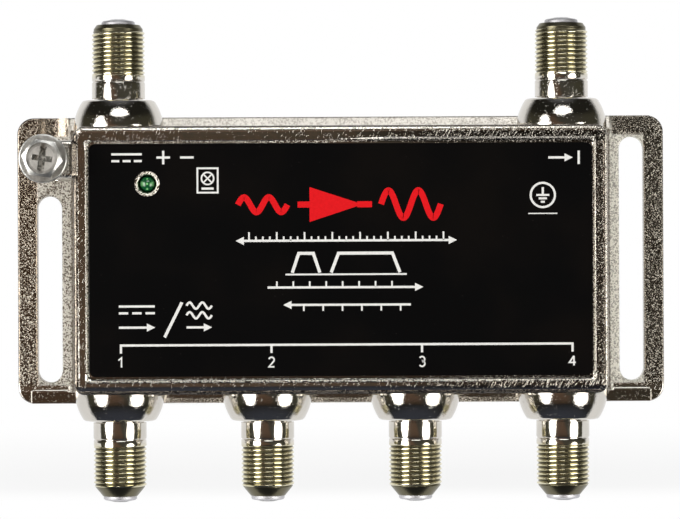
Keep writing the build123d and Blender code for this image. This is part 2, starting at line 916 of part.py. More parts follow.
os.makedirs("parts", exist_ok=True)
write(housing(), "housing")
write(back_cover(), "back_cover")
write(solder_seam(), "solder_seam")
write(front_label(), "front_label")
write(ground_screw(), "ground_screw")
write(ground_lock_washer(), "ground_lock_washer")
write_ports()
write(circuit_board(), "circuit_board")
write(board_screws(), "board_screws")
write(led_lens(), "led_lens")
write(led_leads(), "led_leads")
write(led_spacer(), "led_spacer")
write(amplifier_chips(), "amplifier_chips")
write(voltage_regulator(), "voltage_regulator")
write(electrolytic_capacitors(), "electrolytic_capacitors")
write(choke_core(), "choke_core")
write(choke_winding(), "choke_winding")
write(splitter_cores(), "splitter_cores")
write(splitter_windings(), "splitter_windings")
write(filter_coils(), "filter_coils")
write(surge_arrester(), "surge_arrester")
write(shield_wall(), "shield_wall")
write(small_parts(capacitor_place_shares), "chip_capacitors")
write(small_parts(resistor_place_shares), "chip_resistors")
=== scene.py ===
from math import cos, pi, radians, sin
from types import SimpleNamespace

import bpy
import numpy as np
from bpy.props import FloatProperty, FloatVectorProperty, IntProperty, PointerProperty
from mathutils import Matrix, Vector


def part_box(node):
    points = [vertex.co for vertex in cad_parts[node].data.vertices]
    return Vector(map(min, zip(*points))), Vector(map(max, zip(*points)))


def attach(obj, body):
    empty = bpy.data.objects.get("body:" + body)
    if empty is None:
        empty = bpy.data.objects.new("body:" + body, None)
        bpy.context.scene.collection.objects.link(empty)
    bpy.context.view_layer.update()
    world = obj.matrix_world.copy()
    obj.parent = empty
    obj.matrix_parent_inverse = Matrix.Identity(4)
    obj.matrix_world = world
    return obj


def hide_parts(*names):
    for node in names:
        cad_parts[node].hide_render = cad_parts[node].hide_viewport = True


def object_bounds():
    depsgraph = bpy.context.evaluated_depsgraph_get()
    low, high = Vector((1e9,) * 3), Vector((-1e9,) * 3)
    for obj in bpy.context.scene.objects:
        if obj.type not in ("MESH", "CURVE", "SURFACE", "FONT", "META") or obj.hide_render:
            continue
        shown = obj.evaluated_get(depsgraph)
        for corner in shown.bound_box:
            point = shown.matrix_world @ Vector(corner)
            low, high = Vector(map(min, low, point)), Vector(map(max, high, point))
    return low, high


bl_info = {
    "name": "Coaxial amplifier",
    "version": (1, 0, 0),
    "blender": (4, 5, 0),
    "location": "3D View > Sidebar > Amplifier",
    "description": "Dresses the packed model of a coaxial amplifier and sets its stage",
    "category": "Object",
}

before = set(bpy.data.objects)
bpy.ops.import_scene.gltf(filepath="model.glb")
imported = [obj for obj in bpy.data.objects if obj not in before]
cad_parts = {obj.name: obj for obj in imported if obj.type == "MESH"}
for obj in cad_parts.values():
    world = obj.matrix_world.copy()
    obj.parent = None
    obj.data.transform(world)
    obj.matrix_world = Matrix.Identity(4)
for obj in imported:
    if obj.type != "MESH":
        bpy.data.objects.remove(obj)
cad_low, cad_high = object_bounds()

MM = 0.001
WHITE = (1.0, 1.0, 1.0, 1.0)


def span(low, high):
    """The two ends of a soft step, from millimetres to metres."""
    return low * MM, high * MM


# Place of the camera, sideways and upwards from the middle
CAMERA_ASIDE = -0.124 * MM
CAMERA_ABOVE = 0.02 * MM

# Each soft lamp's azimuth and elevation in degrees, its distance, width and height in metres, its
# share of the side lamps' brightness, and its colour
LAMPS = {
    "left_lamp": (-47, -2, 1.0, 0.57, 1.02, 1.0, (1.0, 0.99, 0.96)),
    "right_lamp": (48, -15, 1.0, 0.58, 0.66, 1.0, (1.0, 0.98, 0.94)),
    "top_lamp": (4, 39, 0.9, 0.60, 0.26, 0.9, (0.98, 0.98, 0.97)),
}

# Colours of the room: its right half, its sides, above and below its middle, its ceiling and ground
ROOM_RIGHT = (0.060, 0.056, 0.044, 1.0)
ROOM_SIDE = (0.055, 0.052, 0.036, 1.0)
ROOM_SLOPE = (0.018, 0.017, 0.014, 1.0)
ROOM_CEILING = (0.5, 0.52, 0.55, 1.0)
ROOM_GROUND = (0.045, 0.05, 0.065, 1.0)

# Where one part of the room goes over into the next, as parts of a direction of length 1
ROOM_LIMITS = {
    "behind": (0.25, 0.55),
    "right": (-0.12, 0.10),
    "side": (0.45, 0.95),
    "slope": (0.28, 0.55),
    "ceiling": (0.80, 0.97),
    "ground": (-0.85, -0.45),
}

# The floor: its gap under the part, its front edge, half its width and its back edge, then where
# its shadow fades to white, and the share of white that the shadow keeps
FLOOR_GAP = 0.02 * MM
FLOOR_FRONT = -12.7 * MM
FLOOR_HALF = 3.0
FLOOR_BACK = 4.0
FLOOR_EDGE = span(-12, 35)
FLOOR_FADE = span(70, 300)
FLOOR_WHITE = 0.86

# Where the finishes of the casting change, as soft steps from the middle or, in depth, the back.
# The flange with its rails, corners, strips and the gutter along the box, which gets a painted
# shadow:
FLANGE_FACE = span(3.4, 4.2)
RAIL_SIDE = span(55.0, 55.6)
RAIL_END = span(49.2, 50.0)
RAIL_RISE = span(22.3, 23.0)
CORNER_SPLIT = span(-1.0, 1.0)
TOP_STRIP_FOOT = span(23.6, 24.0)
TOP_STRIP_END = span(49.0, 50.0)
LOW_STRIP_TOP = span(-24.2, -23.8)
LOW_STRIP_EDGE = span(-25.3, -25.0)
LOW_STRIP_END = span(47.5, 48.5)
GUTTER_END = span(49.1, 49.3)
# The ground block and the domes of the ports:
BOSS_FACE = span(4.5, 6.0)
BOSS_SIDE = span(-48.2, -47.8)
DOME_FOOT = span(24.1, 24.4)
# The front with its border, hatching, scratches, the lamp's socket and the inset line under the
# label, which gets painted shade:
FRONT_FACE = span(19.5, 20.5)
BORDER_FOOT = span(-23.1, -22.8)
HATCH_TOP = span(-21.6, -21.4)
HATCH_START = span(0, 45)
UPPER_FOOT = span(20.7, 20.9)
UPPER_TOP = span(22.9, 23.2)
SCRATCH_START = span(-5, 20)
INSET_TOP = span(-20.7, -20.6)
INSET_FOOT = span(-21.15, -21.05)
FOOT_TOP = span(-22.6, -22.3)
SOCKET_EDGE = span(2.35, 2.40)
# The rounded edge of the front, with painted shade on it but for its crown above and a line at the
# right, which get painted highlights:
EDGE_DEPTH = span(16, 18)
RIM_SIDE = span(46.5, 46.8)
RIM_RISE = span(23.05, 23.35)
RIM_SIDE_END = span(47.6, 47.8)
RIM_RISE_END = span(23.90, 23.95)
RIM_LINE = span(46.9, 47.1)
CROWN_FOOT = span(22.7, 22.9)
CROWN_TOP = span(23.5, 23.7)
CROWN_END = span(46.8, 47.2)
# The halves of the part, and the calmer grain at its upper left:
UPPER_HALF = span(0, 1)
RIGHT_HALF = span(0, 40)
CALM_SIDE = span(-20, 0)
CALM_RISE = span(-8, 12)

# The beaded lip round the label: its rise and fall from its start, its end past the label's
# corner, how far out it starts below and above, where it changes along the top, and its flank
BEAD_RISE = 0.35 * MM
BEAD_FALL = span(0.45, 0.80)
BEAD_END = span(0.6, 0.7)
LIP_BELOW = 0.42 * MM
LIP_ABOVE = 0.30 * MM
LIP_CHANGE = span(-5, 10)
LIP_SIDE = 0.1 * MM

# Slopes of the casting that its relief gives, per metre, and where two of them start
EDGE_SLOPE = 1.6 / MM
FOOT_SLOPE = 1.3 / MM
STRIP_SLOPE = 1.17 / MM
FOOT_START = -22.4 * MM
STRIP_START = 24.0 * MM

# The casting's slanted streaks: their angle and how far they are drawn out
STREAK_ANGLE = -0.5
STREAK_STRETCH = (0.25, 1.0, 1.2)

# Each port and whether it points up
PORTS = {"power": 1, "input": 1, "output_1": -1, "output_2": -1, "output_3": -1, "output_4": -1}

# Radii of a port's barrel, from the boss to the lip and in the bore
SHANK_RADIUS = 5.2025 * MM
UNDERCUT_RADIUS = 4.4025 * MM
NECK_RADIUS = 4.8025 * MM
GROOVE_RADIUS = 4.6025 * MM
RELIEF_RADIUS = 4.7825 * MM
CREST_RADIUS = 4.7625 * MM
LIP_RADIUS = 3.0 * MM
MOUTH_RADIUS = 2.45 * MM
BORE_RADIUS = 3.6625 * MM

# Heights on a port's barrel, from the part's middle
SHANK_START = 27.6 * MM
BOSS_TOP = 28.9 * MM
NECK_START = 29.2 * MM
NECK_END = 32.05 * MM
GROOVE_HEIGHT = 32.25 * MM
RELIEF_START = 32.45 * MM
RELIEF_END = 33.387 * MM
FIRST_CREST = 33.9 * MM
LAST_CREST = 41.3 * MM

# Lengths from the tip of a port's barrel
LIP_LENGTH = 0.75 * MM
MOUTH_DEPTH = 1.6 * MM
LIP_ROUND = 0.25 * MM
EDGE_SOFTNESS = 0.06 * MM

# Length of the nose's taper and the radius at its end, for a port that points up or down
NOSES = {1: (1.2 * MM, 3.92 * MM), -1: (2.0 * MM, 3.12 * MM)}

# The thread: shares of its pitch that are flat at its crest and root, and what is still smooth
CREST_SHARE = 0.18
ROOT_SHARE = 0.10
SMOOTH_ANGLE = radians(38)

# Where a port's finish turns warm on the thread, and pale on the lip
THREAD_FINISH = span(32.4, 34.2)
LIP_FINISH = span(42.4, 42.6)

# The lamp's lens: its wedges of painted reflection, its dark rim, its three painted glints and how
# far the outer ones stand off
WEDGE_TURN = (0.25, 0.55)
WEDGE_START = span(0.3, 0.6)
WEDGE_END = span(1.0, 1.4)
LENS_RIM = span(1.10, 1.45)
MIDDLE_GLINT = span(0.12, 0.26)
HIGH_GLINT = span(0.08, 0.20)
LOW_GLINT = span(0.10, 0.24)
GLINT_OFFSET = 0.9 * MM

# The screw's recesses: their edge, wall and floor, then the turning lines and crystals per metre
RECESS_EDGE = span(2.2, 2.3)
RECESS_WALL = span(0.04, 0.08)
RECESS_FLOOR = span(0.3, 0.6)
TURNING_LINES = 42000.0
CRYSTALS = 2600.0

# Threads of the board's glass cloth and turns of the coils' wire, in radians per metre
CLOTH_THREADS = 5200.0
WIRE_TURNS = 21000.0

# Left end, height and width of each sign on the label, in millimetres from the part's middle
SIGNS = {
    "power_current": (-40.6, 18.25, 5.4),
    "power_plus": (-32.6, 18.25, 2.4),
    "power_minus": (-28.4, 18.25, 2.4),
    "lamp_box": (-25.35, 14.15, 3.6),
    "input_arrow": (36.9, 17.95, 5.4),
    "earth_ring": (33.75, 11.3, 4.3),
    "remote_current": (-39.4, -8.75, 6.4),
    "remote_arrow": (-39.4, -11.9, 6.4),
    "either_slash": (-31.3, -10.55, 3.1),
    "signal_waves": (-27.4, -8.9, 4.5),
    "signal_arrow": (-27.4, -11.9, 4.5),
    "band_rule": (-18.6, 3.4, 39.2),
    "narrow_band": (-8.6, -2.3, 4.9),
    "wide_band": (-1.7, -2.3, 12.2),
    "band_base": (-9.8, -2.6, 21.5),
    "forward_arrow": (-13.0, -4.9, 27.6),
    "return_arrow": (-10.2, -8.0, 22.6),
    "output_bracket": (-39.05, -15.06, 80.1),
    "small_wave": (-18.2, 9.8, 8.8),
    "amplifier": (-7.6, 9.8, 13.2),
    "large_wave": (7.2, 9.8, 10.6),
}

# Height of a number, its drop below the bracket, and the red line's width in white lines
DIGIT_HEIGHT = 1.7
DIGIT_DROP = 3.05
RED_LINE = 2.7

# The ink's underside and top over the label, and the step between strokes that cross
INK_LOW = 0.01 * MM
INK_HIGH = 0.04 * MM
INK_STEP = 0.002 * MM


def rgba(colour, share=1.0):
    """A colour of three numbers, times a share, with full alpha."""
    return (*[share * part for part in colour], 1.0)


def middle_of(node):
    """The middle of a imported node's box."""
    return tuple((low + high) / 2 for low, high in zip(*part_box(node)))


# Shaders


class Signal:
    """A socket of a shader. Sums on it add Math nodes, and node() adds any other node."""

    def __init__(self, tree, socket):
        self.tree = tree
        self.socket = socket

    def node(self, kind, settings, values, out=0):
        """Add a node: its type, its settings, then a value or a signal for its sockets."""
        made = self.tree.nodes.new(kind)
        for name, value in settings.items():
            setattr(made, name, value)
        for place, value in values.items():
            if isinstance(value, Signal):
                self.tree.links.new(value.socket, made.inputs[place])
            else:
                made.inputs[place].default_value = value
        return Signal(self.tree, made.outputs[out])

    def join(self, operation, *values):
        """Add a Math node on some values or signals."""
        return self.node("ShaderNodeMath", {"operation": operation}, dict(enumerate(values)))

    def math(self, operation, *others):
        """Add a Math node on this signal and what follows it."""
        return self.join(operation, self, *others)

    def __add__(self, other):
        return self.join("ADD", self, other)

    def __radd__(self, other):
        return self.join("ADD", other, self)

    def __sub__(self, other):
        return self.join("SUBTRACT", self, other)

    def __rsub__(self, other):
        return self.join("SUBTRACT", other, self)

    def __mul__(self, other):
        return self.join("MULTIPLY", self, other)

    def __rmul__(self, other):
        return self.join("MULTIPLY", other, self)

    def __abs__(self):
        return self.math("ABSOLUTE")

    def parts(self):
        """The three parts of a vector."""
        first = self.node("ShaderNodeSeparateXYZ", {}, {0: self})
        return [Signal(self.tree, socket) for socket in first.socket.node.outputs]

    def step(self, low, high):
        """A smooth step from 0 at low to 1 at high."""
        ends = {"From Min": low, "From Max": high, "To Min": 0.0, "To Max": 1.0, "Value": self}
        return self.node("ShaderNodeMapRange", {"interpolation_type": "SMOOTHSTEP"}, ends)

    def fall(self, low, high):
        """A smooth step from 1 at low to 0 at high."""
        ends = {"From Min": low, "From Max": high, "To Min": 1.0, "To Max": 0.0, "Value": self}
        return self.node("ShaderNodeMapRange", {"interpolation_type": "SMOOTHSTEP"}, ends)

    def noise(self, size, detail=2.0, roughness=0.5, stretch=(1.0, 1.0, 1.0)):
        """Soft noise on this vector, of a grain size in metres, drawn out by the stretch."""
        scale = tuple(1.0 / (size * share) for share in stretch)
        place = self.node("ShaderNodeVectorMath", {"operation": "MULTIPLY"}, {0: self, 1: scale})
        values = {"Vector": place, "Scale": 1.0, "Detail": detail, "Roughness": roughness}
        return self.node("ShaderNodeTexNoise", {}, values)

    def blend(self, first, second):
        """The mix of two colours by this factor."""
        return self.node("ShaderNodeMix", {"data_type": "RGBA"}, {0: self, 6: first, 7: second}, 2)

    def relief(self, depth):
        """The normal of a surface raised by this height, times a depth in metres."""
        return self.node("ShaderNodeBump", {}, {"Strength": 1.0, "Distance": depth, "Height": self})


def finish(name):
    """A new material, with its main shader and its Object coordinates."""
    material = bpy.data.materials.new(name)
    material.use_nodes = True
    tree = material.node_tree
    place = Signal(tree, tree.nodes.new("ShaderNodeTexCoord").outputs["Object"])
    return material, tree.nodes["Principled BSDF"], place


def feed(shader, values):
    """Give a shader's sockets their values or signals."""
    for name, value in values.items():
        if isinstance(value, Signal):
            value.tree.links.new(value.socket, shader.inputs[name])
        else:
            shader.inputs[name].default_value = value


def dress(node, material):
    """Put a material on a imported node, through its object's slots."""
    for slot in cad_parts[node].material_slots:
        slot.material = material


def round_place(place, centre, axis):
    """Distance of a place from the line along an axis through a centre, and its parts across it."""
    shifted = place.node("ShaderNodeVectorMath", {"operation": "SUBTRACT"}, {0: place, 1: centre})
    across = [part for name, part in zip("XYZ", shifted.parts()) if name != axis]
    return (across[0] * across[0] + across[1] * across[1]).math("SQRT"), across


# Meshes


def new_piece(name, points, faces, material, smooth_angle=None):
    """An object of a mesh from its points and faces, with its place in the mesh."""
    mesh = bpy.data.meshes.new(name)
    mesh.from_pydata(points.reshape(-1, 3).tolist(), [], faces.tolist())
    mesh.polygons.foreach_set("use_smooth", np.full(len(faces), smooth_angle is not None))
    if smooth_angle is not None:
        mesh.set_sharp_from_angle(angle=smooth_angle)
    mesh.materials.append(material)
    piece = bpy.data.objects.new(name, mesh)
    bpy.context.scene.collection.objects.link(piece)
    mesh.update()
    return piece


def grid_faces(rows, columns):
    """The faces of a grid that closes both ways, as numbers of its points."""
    first = np.arange(rows * columns).reshape(rows, columns)
    right = np.roll(first, -1, axis=1)
    up = np.roll(first, -1, axis=0)
    corner = np.roll(up, -1, axis=1)
    return np.stack([first, right, corner, up], axis=-1).reshape(-1, 4)


def softened(points, size):
    """A closed outline with each corner cut to two points, a size away along its two sides."""
    before = np.roll(points, 1, axis=0) - points
    after = np.roll(points, -1, axis=0) - points
    reach = [np.linalg.norm(side, axis=1, keepdims=True) for side in (before, after)]
    sides = [
        side / length * np.minimum(size, length / 3)
        for side, length in zip((before, after), reach)
    ]
    return np.stack([points + sides[0], points + sides[1]], axis=1).reshape(-1, 2)


def ribbon(path, half_width, low, high, closed=False):
    """A flat printed stroke along a path of X and Z, from one depth to another.

    Each point gets two points to its sides, at half the width along the mitred normal, on both
    depths. The four rows make a closed strip, with a face at each end unless the path closes.
    """
    path = np.asarray(path, float)
    half_width = np.broadcast_to(half_width, len(path))[:, None]
    ahead = np.roll(path, -1, axis=0) - path
    back = path - np.roll(path, 1, axis=0)
    if not closed:
        ahead[-1], back[0] = back[-1], ahead[0]
    ahead, back = (side / np.linalg.norm(side, axis=1, keepdims=True) for side in (ahead, back))
    mean = ahead + back
    mean /= np.linalg.norm(mean, axis=1, keepdims=True)
    mitre = 1 / np.maximum((mean * ahead).sum(axis=1, keepdims=True), 0.5)
    normal = np.stack([-mean[:, 1], mean[:, 0]], axis=1) * mitre * half_width
    right, left = path + normal, path - normal
    rows = [
        np.stack([side[:, 0], np.full(len(path), -depth), side[:, 1]], axis=1)
        for side, depth in ((right, high), (left, high), (left, low), (right, low))
    ]
    points = np.stack(rows, axis=1)
    faces = grid_faces(len(path), 4)
    if not closed:
        last = 4 * (len(path) - 1)
        ends = np.array([[0, 1, 2, 3], [last + 3, last + 2, last + 1, last]])
        faces = np.concatenate([faces[:-4], ends])
    return points.reshape(-1, 3), faces


def joined(strokes):
    """Several strokes as one set of points and faces."""
    starts = np.cumsum([0] + [len(points) for points, _ in strokes[:-1]])
    points = np.concatenate([points for points, _ in strokes])
    return points, np.concatenate([faces + start for start, (_, faces) in zip(starts, strokes)])


# Sizes and colours that can be changed


class StageSettings(bpy.types.PropertyGroup):
    """The studio round the amplifier."""

    camera_distance: FloatProperty(
        name="Camera distance", description="From the back plane to the camera",
        default=0.621, unit="LENGTH",
    )
    lens: FloatProperty(
        name="Lens", description="Focal length on a sensor 36 mm wide",
        default=179.15, subtype="DISTANCE_CAMERA",
    )
    roll: FloatProperty(
        name="Roll", description="Turn of the camera about its view",
        default=radians(0.27), subtype="ANGLE",
    )
    side_light: FloatProperty(
        name="Side lamps", description="Brightness of the two soft lamps beside the camera",
        default=5.2, min=0,
    )
    room: FloatVectorProperty(
        name="Room", description="Colour of the dim room in front of the amplifier",
        default=(0.120, 0.076, 0.050), subtype="COLOR", min=0, max=1,
    )
    floor: FloatVectorProperty(
        name="Floor", description="Colour of the floor",
        default=(0.93, 0.93, 0.93), subtype="COLOR", min=0, max=1,
    )


class HousingSettings(bpy.types.PropertyGroup):
    """The nickel-plated casting."""

    nickel: FloatVectorProperty(
        name="Nickel", description="Colour of the plating",
        default=(0.66, 0.63, 0.58), subtype="COLOR", min=0, max=1,
    )
    grain: FloatProperty(
        name="Grain", description="Size of the casting's coarse grain",
        default=0.37 * MM, unit="LENGTH",
    )
    grain_depth: FloatProperty(
        name="Grain depth", description="Depth of the coarse grain",
        default=0.27 * MM, unit="LENGTH",
    )


class LabelSettings(bpy.types.PropertyGroup):
    """The label and what is printed on it."""

    ground: FloatVectorProperty(
        name="Ground", description="Colour of the label",
        default=(0.0022, 0.0022, 0.0024), subtype="COLOR", min=0, max=1,
    )
    white_ink: FloatVectorProperty(
        name="White ink", description="Colour of the light marks",
        default=(0.74, 0.74, 0.73), subtype="COLOR", min=0, max=1,
    )
    red_ink: FloatVectorProperty(
        name="Red ink", description="Colour of the large marks",
        default=(0.68, 0.006, 0.010), subtype="COLOR", min=0, max=1,
    )
    stroke: FloatProperty(
        name="Stroke", description="Width of the printed lines",
        default=0.40 * MM, unit="LENGTH",
    )


class PortSettings(bpy.types.PropertyGroup):
    """The threaded barrels of the ports."""

    pitch: FloatProperty(
        name="Pitch", description="Rise of the thread in one turn",
        default=0.79375 * MM, unit="LENGTH",
    )
    thread_depth: FloatProperty(
        name="Thread depth", description="Depth of the thread",
        default=0.34 * MM, unit="LENGTH",
    )
    steps_round: IntProperty(
        name="Steps round", description="Number of points round a barrel", default=112, min=24,
    )
    steps_per_turn: IntProperty(
        name="Steps along", description="Number of points along one rise of the thread",
        default=14, min=6,
    )
    warm: FloatVectorProperty(
        name="Thread colour", description="Colour of the plating on the threads",
        default=(0.72, 0.67, 0.47), subtype="COLOR", min=0, max=1,
    )


class LampSettings(bpy.types.PropertyGroup):
    """The indicator lamp."""

    resin: FloatVectorProperty(
        name="Resin", description="Colour of the lens",
        default=(0.004, 0.075, 0.022), subtype="COLOR", min=0, max=1,
    )
    # Colour of the painted reflections and highlights inside the lens
    painted_glint: FloatVectorProperty(
        name="Glint", description="Colour of the bright parts inside the lens",
        default=(0.22, 0.60, 0.22), subtype="COLOR", min=0, max=1,
    )


# Stage


def soft_lamp(name, azimuth, elevation, distance, width, height, brightness, colour):
    """A soft elliptical lamp that faces the middle, at angles from the front."""
    lamp = bpy.data.lights.new(name, "AREA")
    lamp.shape = "ELLIPSE"
    lamp.size, lamp.size_y = width, height
    lamp.energy = brightness * pi * width * height
    lamp.color = colour
    holder = bpy.data.objects.new(name, lamp)
    level = cos(elevation)
    direction = Vector((sin(azimuth) * level, -cos(azimuth) * level, sin(elevation)))
    holder.location = distance * direction
    holder.rotation_mode = "QUATERNION"
    holder.rotation_quaternion = holder.location.to_track_quat("Z", "Y")
    holder.visible_camera = False
    bpy.context.scene.collection.objects.link(holder)


def studio_room(scene, room):
    """A world that is dim in front of the amplifier, white behind it and white to the camera."""
    world = bpy.data.worlds.new("studio_room")
    world.use_nodes = True
    scene.world = world
    tree = world.node_tree
    direction = Signal(tree, tree.nodes.new("ShaderNodeTexCoord").outputs["Generated"])
    x, y, z = direction.parts()
    front = (x * 0.8 + z * 0.6).step(*ROOM_LIMITS["right"]).blend(rgba(room), ROOM_RIGHT)
    front = abs(x).step(*ROOM_LIMITS["side"]).blend(front, ROOM_SIDE)
    front = abs(z).step(*ROOM_LIMITS["slope"]).blend(front, ROOM_SLOPE)
    front = (z.step(*ROOM_LIMITS["ceiling"]) * 0.5).blend(front, ROOM_CEILING)
    front = z.fall(*ROOM_LIMITS["ground"]).blend(front, ROOM_GROUND)
    light = y.step(*ROOM_LIMITS["behind"]).blend(front, WHITE)
    seen = direction.node("ShaderNodeLightPath", {}, {}, "Is Camera Ray")
    feed(tree.nodes["Background"], {"Color": seen.blend(light, WHITE), "Strength": 1.0})


def pale_floor(colour):
    """A pale floor that keeps the shadow near the part and is white to the camera farther off."""
    material, shader, place = finish("pale_floor")
    tree = material.node_tree
    speck = place.noise(4 * MM, 3.0)
    feed(shader, {"Base Color": speck.blend(rgba(colour), rgba(colour, 0.985)), "Roughness": 0.8})
    camera = place.node("ShaderNodeLightPath", {}, {}, "Is Camera Ray")
    rays = camera.socket.node.outputs
    seen = camera + Signal(tree, rays["Is Glossy Ray"]) + Signal(tree, rays["Is Transmission Ray"])
    away, (_, back) = round_place(place, (0.0, 0.0, 0.0), "Z")
    bright = away.step(*FLOOR_FADE).math("MAXIMUM", back.fall(*FLOOR_EDGE))
    share = seen.math("MINIMUM", 1.0) * (FLOOR_WHITE + bright * (1.0 - FLOOR_WHITE))
    glow = place.node("ShaderNodeEmission", {}, {"Color": WHITE, "Strength": 1.0})
    mixed = {0: share, 1: Signal(tree, shader.outputs[0]), 2: glow}
    mix = place.node("ShaderNodeMixShader", {}, mixed)
    tree.links.new(mix.socket, tree.nodes["Material Output"].inputs["Surface"])
    return material


class AMPLIFIER_OT_stage(bpy.types.Operator):
    """Make the camera, the soft lamps, the room and the floor"""

    bl_idname = "amplifier.stage"
    bl_label = "Stage"

    def execute(self, context):
        scene = context.scene
        settings = scene.amplifier_stage
        camera = bpy.data.cameras.new("camera")
        camera.sensor_fit = "HORIZONTAL"
        camera.sensor_width = 36.0
        camera.lens = settings.lens
        camera.clip_start = 0.01
        holder = bpy.data.objects.new("camera", camera)
        turn = settings.roll
        holder.matrix_world = Matrix((
            (cos(turn), sin(turn), 0.0, CAMERA_ASIDE),
            (0.0, 0.0, -1.0, -settings.camera_distance),
            (-sin(turn), cos(turn), 0.0, CAMERA_ABOVE),
            (0.0, 0.0, 0.0, 1.0),
        ))
        scene.collection.objects.link(holder)
        scene.camera = holder
        for name, (azimuth, elevation, distance, width, height, share, colour) in LAMPS.items():
            turns = radians(azimuth), radians(elevation)
            soft_lamp(name, *turns, distance, width, height, share * settings.side_light, colour)
        studio_room(scene, settings.room)

        level = cad_low[2] - FLOOR_GAP
        corners = [
            (-FLOOR_HALF, FLOOR_FRONT, level), (FLOOR_HALF, FLOOR_FRONT, level),
            (FLOOR_HALF, FLOOR_BACK, level), (-FLOOR_HALF, FLOOR_BACK, level),
        ]
        material = pale_floor(settings.floor)
        new_piece("floor", np.array(corners), np.array([[0, 1, 2, 3]]), material)
        scene.view_settings.view_transform = "Standard"
        return {"FINISHED"}


# Housing


def bead(across, start, along, stop):
    """A raised line just outside a start, that ends just past a stop along it."""
    rise = across.step(start, start + BEAD_RISE)
    fall = across.fall(start + BEAD_FALL[0], start + BEAD_FALL[1])
    return rise * fall * along.fall(stop + BEAD_END[0], stop + BEAD_END[1])


def casting_zones(place):
    """The casting's zones as masks from a place on it, each 1 inside and 0 outside."""
    x, y, z = place.parts()
    width, height, depth = abs(x), abs(z), 0.0 - y
    zone = SimpleNamespace()
    zone.right = x.step(*RIGHT_HALF)
    zone.calm = 1.0 - x.fall(*CALM_SIDE) * z.step(*CALM_RISE) * 0.6

    flange = depth.fall(*FLANGE_FACE)
    ends = width.step(*RAIL_END) * height.step(*RAIL_RISE)
    level = flange * z.step(*LOW_STRIP_TOP)
    zone.corner = level * ends * z.fall(*CORNER_SPLIT)
    zone.rail = level * width.step(*RAIL_SIDE).math("MAXIMUM", ends) - zone.corner
    zone.strip = flange * z.step(*TOP_STRIP_FOOT) * width.fall(*TOP_STRIP_END)
    zone.ledge = (level - zone.rail - zone.corner - zone.strip).math("MAXIMUM", 0.0)
    zone.gutter = zone.ledge * width.fall(*GUTTER_END)
    zone.low_strip = flange * z.fall(*LOW_STRIP_TOP)
    zone.low_face = zone.low_strip * z.fall(*LOW_STRIP_EDGE) * width.fall(*LOW_STRIP_END)
    zone.boss = x.fall(*BOSS_SIDE) * depth.step(*BOSS_FACE)
    zone.dome = height.step(*DOME_FOOT) * depth.step(*BOSS_FACE)

    zone.front = depth.step(*FRONT_FACE)
    zone.border = zone.front * z.step(*BORDER_FOOT)
    zone.hatch = zone.border * z.fall(*HATCH_TOP) * x.step(*HATCH_START)
    zone.upper = zone.border * z.step(*UPPER_FOOT) * z.fall(*UPPER_TOP)
    # The scratched upper border: real scratches in its relief, painted glints on them and a painted
    # dark reflection in its colour.
    zone.scratch = zone.upper * x.step(*SCRATCH_START)
    zone.plain = zone.border - zone.hatch
    zone.foot = zone.front * z.fall(*FOOT_TOP)
    lamp_reach, _ = round_place(place, middle_of("led_lens"), "Y")
    zone.socket = zone.front * lamp_reach.fall(*SOCKET_EDGE)

    side, _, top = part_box("front_label")[1]
    zone.beside = width.step(side, side + LIP_SIDE)
    inset = zone.front * z.fall(*INSET_TOP) * z.step(*INSET_FOOT)
    zone.inset = inset * width.fall(side, side + LIP_SIDE)
    upper_half = z.step(*UPPER_HALF)
    offset = z.fall(*UPPER_HALF) * LIP_BELOW + upper_half * x.step(*LIP_CHANGE) * LIP_ABOVE
    upright, level_line = bead(width, side, height, top), bead(height - offset, top, width, side)
    faint = z.step(*UPPER_FOOT) * x.fall(*LIP_CHANGE) * 0.6
    zone.lip = zone.front * upright.math("MAXIMUM", level_line) * (1.0 - faint)

    edge = depth.step(*EDGE_DEPTH)
    rim = width.step(*RIM_SIDE).math("MAXIMUM", height.step(*RIM_RISE)) * edge
    zone.rim = rim * height.fall(*RIM_RISE_END) * width.fall(*RIM_SIDE_END)
    # The line at the right and the crown are painted highlight lines; the rest of the rounded edge
    # gets painted shade.
    zone.rim_line = zone.rim * x.step(*RIM_LINE)
    zone.crown = z.step(*CROWN_FOOT) * z.fall(*CROWN_TOP) * width.fall(*CROWN_END) * edge
    zone.rim_shade = zone.rim * (1.0 - zone.crown) * (0.85 - x.step(*RIM_SIDE) * 0.6)

    outward = (width - RIM_SIDE[0]).math("MAXIMUM", 0.0) + (-RIM_RISE[0] - z).math("MAXIMUM", 0.0)
    upward = (z - CROWN_FOOT[0]).math("MAXIMUM", 0.0) * z.fall(*RIM_RISE_END) * edge
    zone.turned = (
        (z - FOOT_START) * (zone.foot * FOOT_SLOPE)
        + (outward * zone.rim + upward * 0.75) * EDGE_SLOPE
        + (STRIP_START - z) * (zone.strip * STRIP_SLOPE)
    )
    return zone


def casting_noises(place, grain):
    """The casting's noises: pits, finer grain and specks, slanted streaks, patches and swells."""
    turned = {"Vector": place, "Angle": STREAK_ANGLE}
    slanted = place.node("ShaderNodeVectorRotate", {"rotation_type": "Y_AXIS"}, turned)
    return SimpleNamespace(
        pits=place.noise(grain, 3.0, 0.6),
        fine=place.noise(grain * 0.6, 2.0, 0.6),
        specks=place.noise(grain * 0.8, 2.0, 0.6),
        streaks=slanted.noise(grain * 2.2, 2.0, 0.6, STREAK_STRETCH),
        patch=place.noise(grain * 20, 2.0),
        swell=place.noise(grain * 13, 2.0),
    )


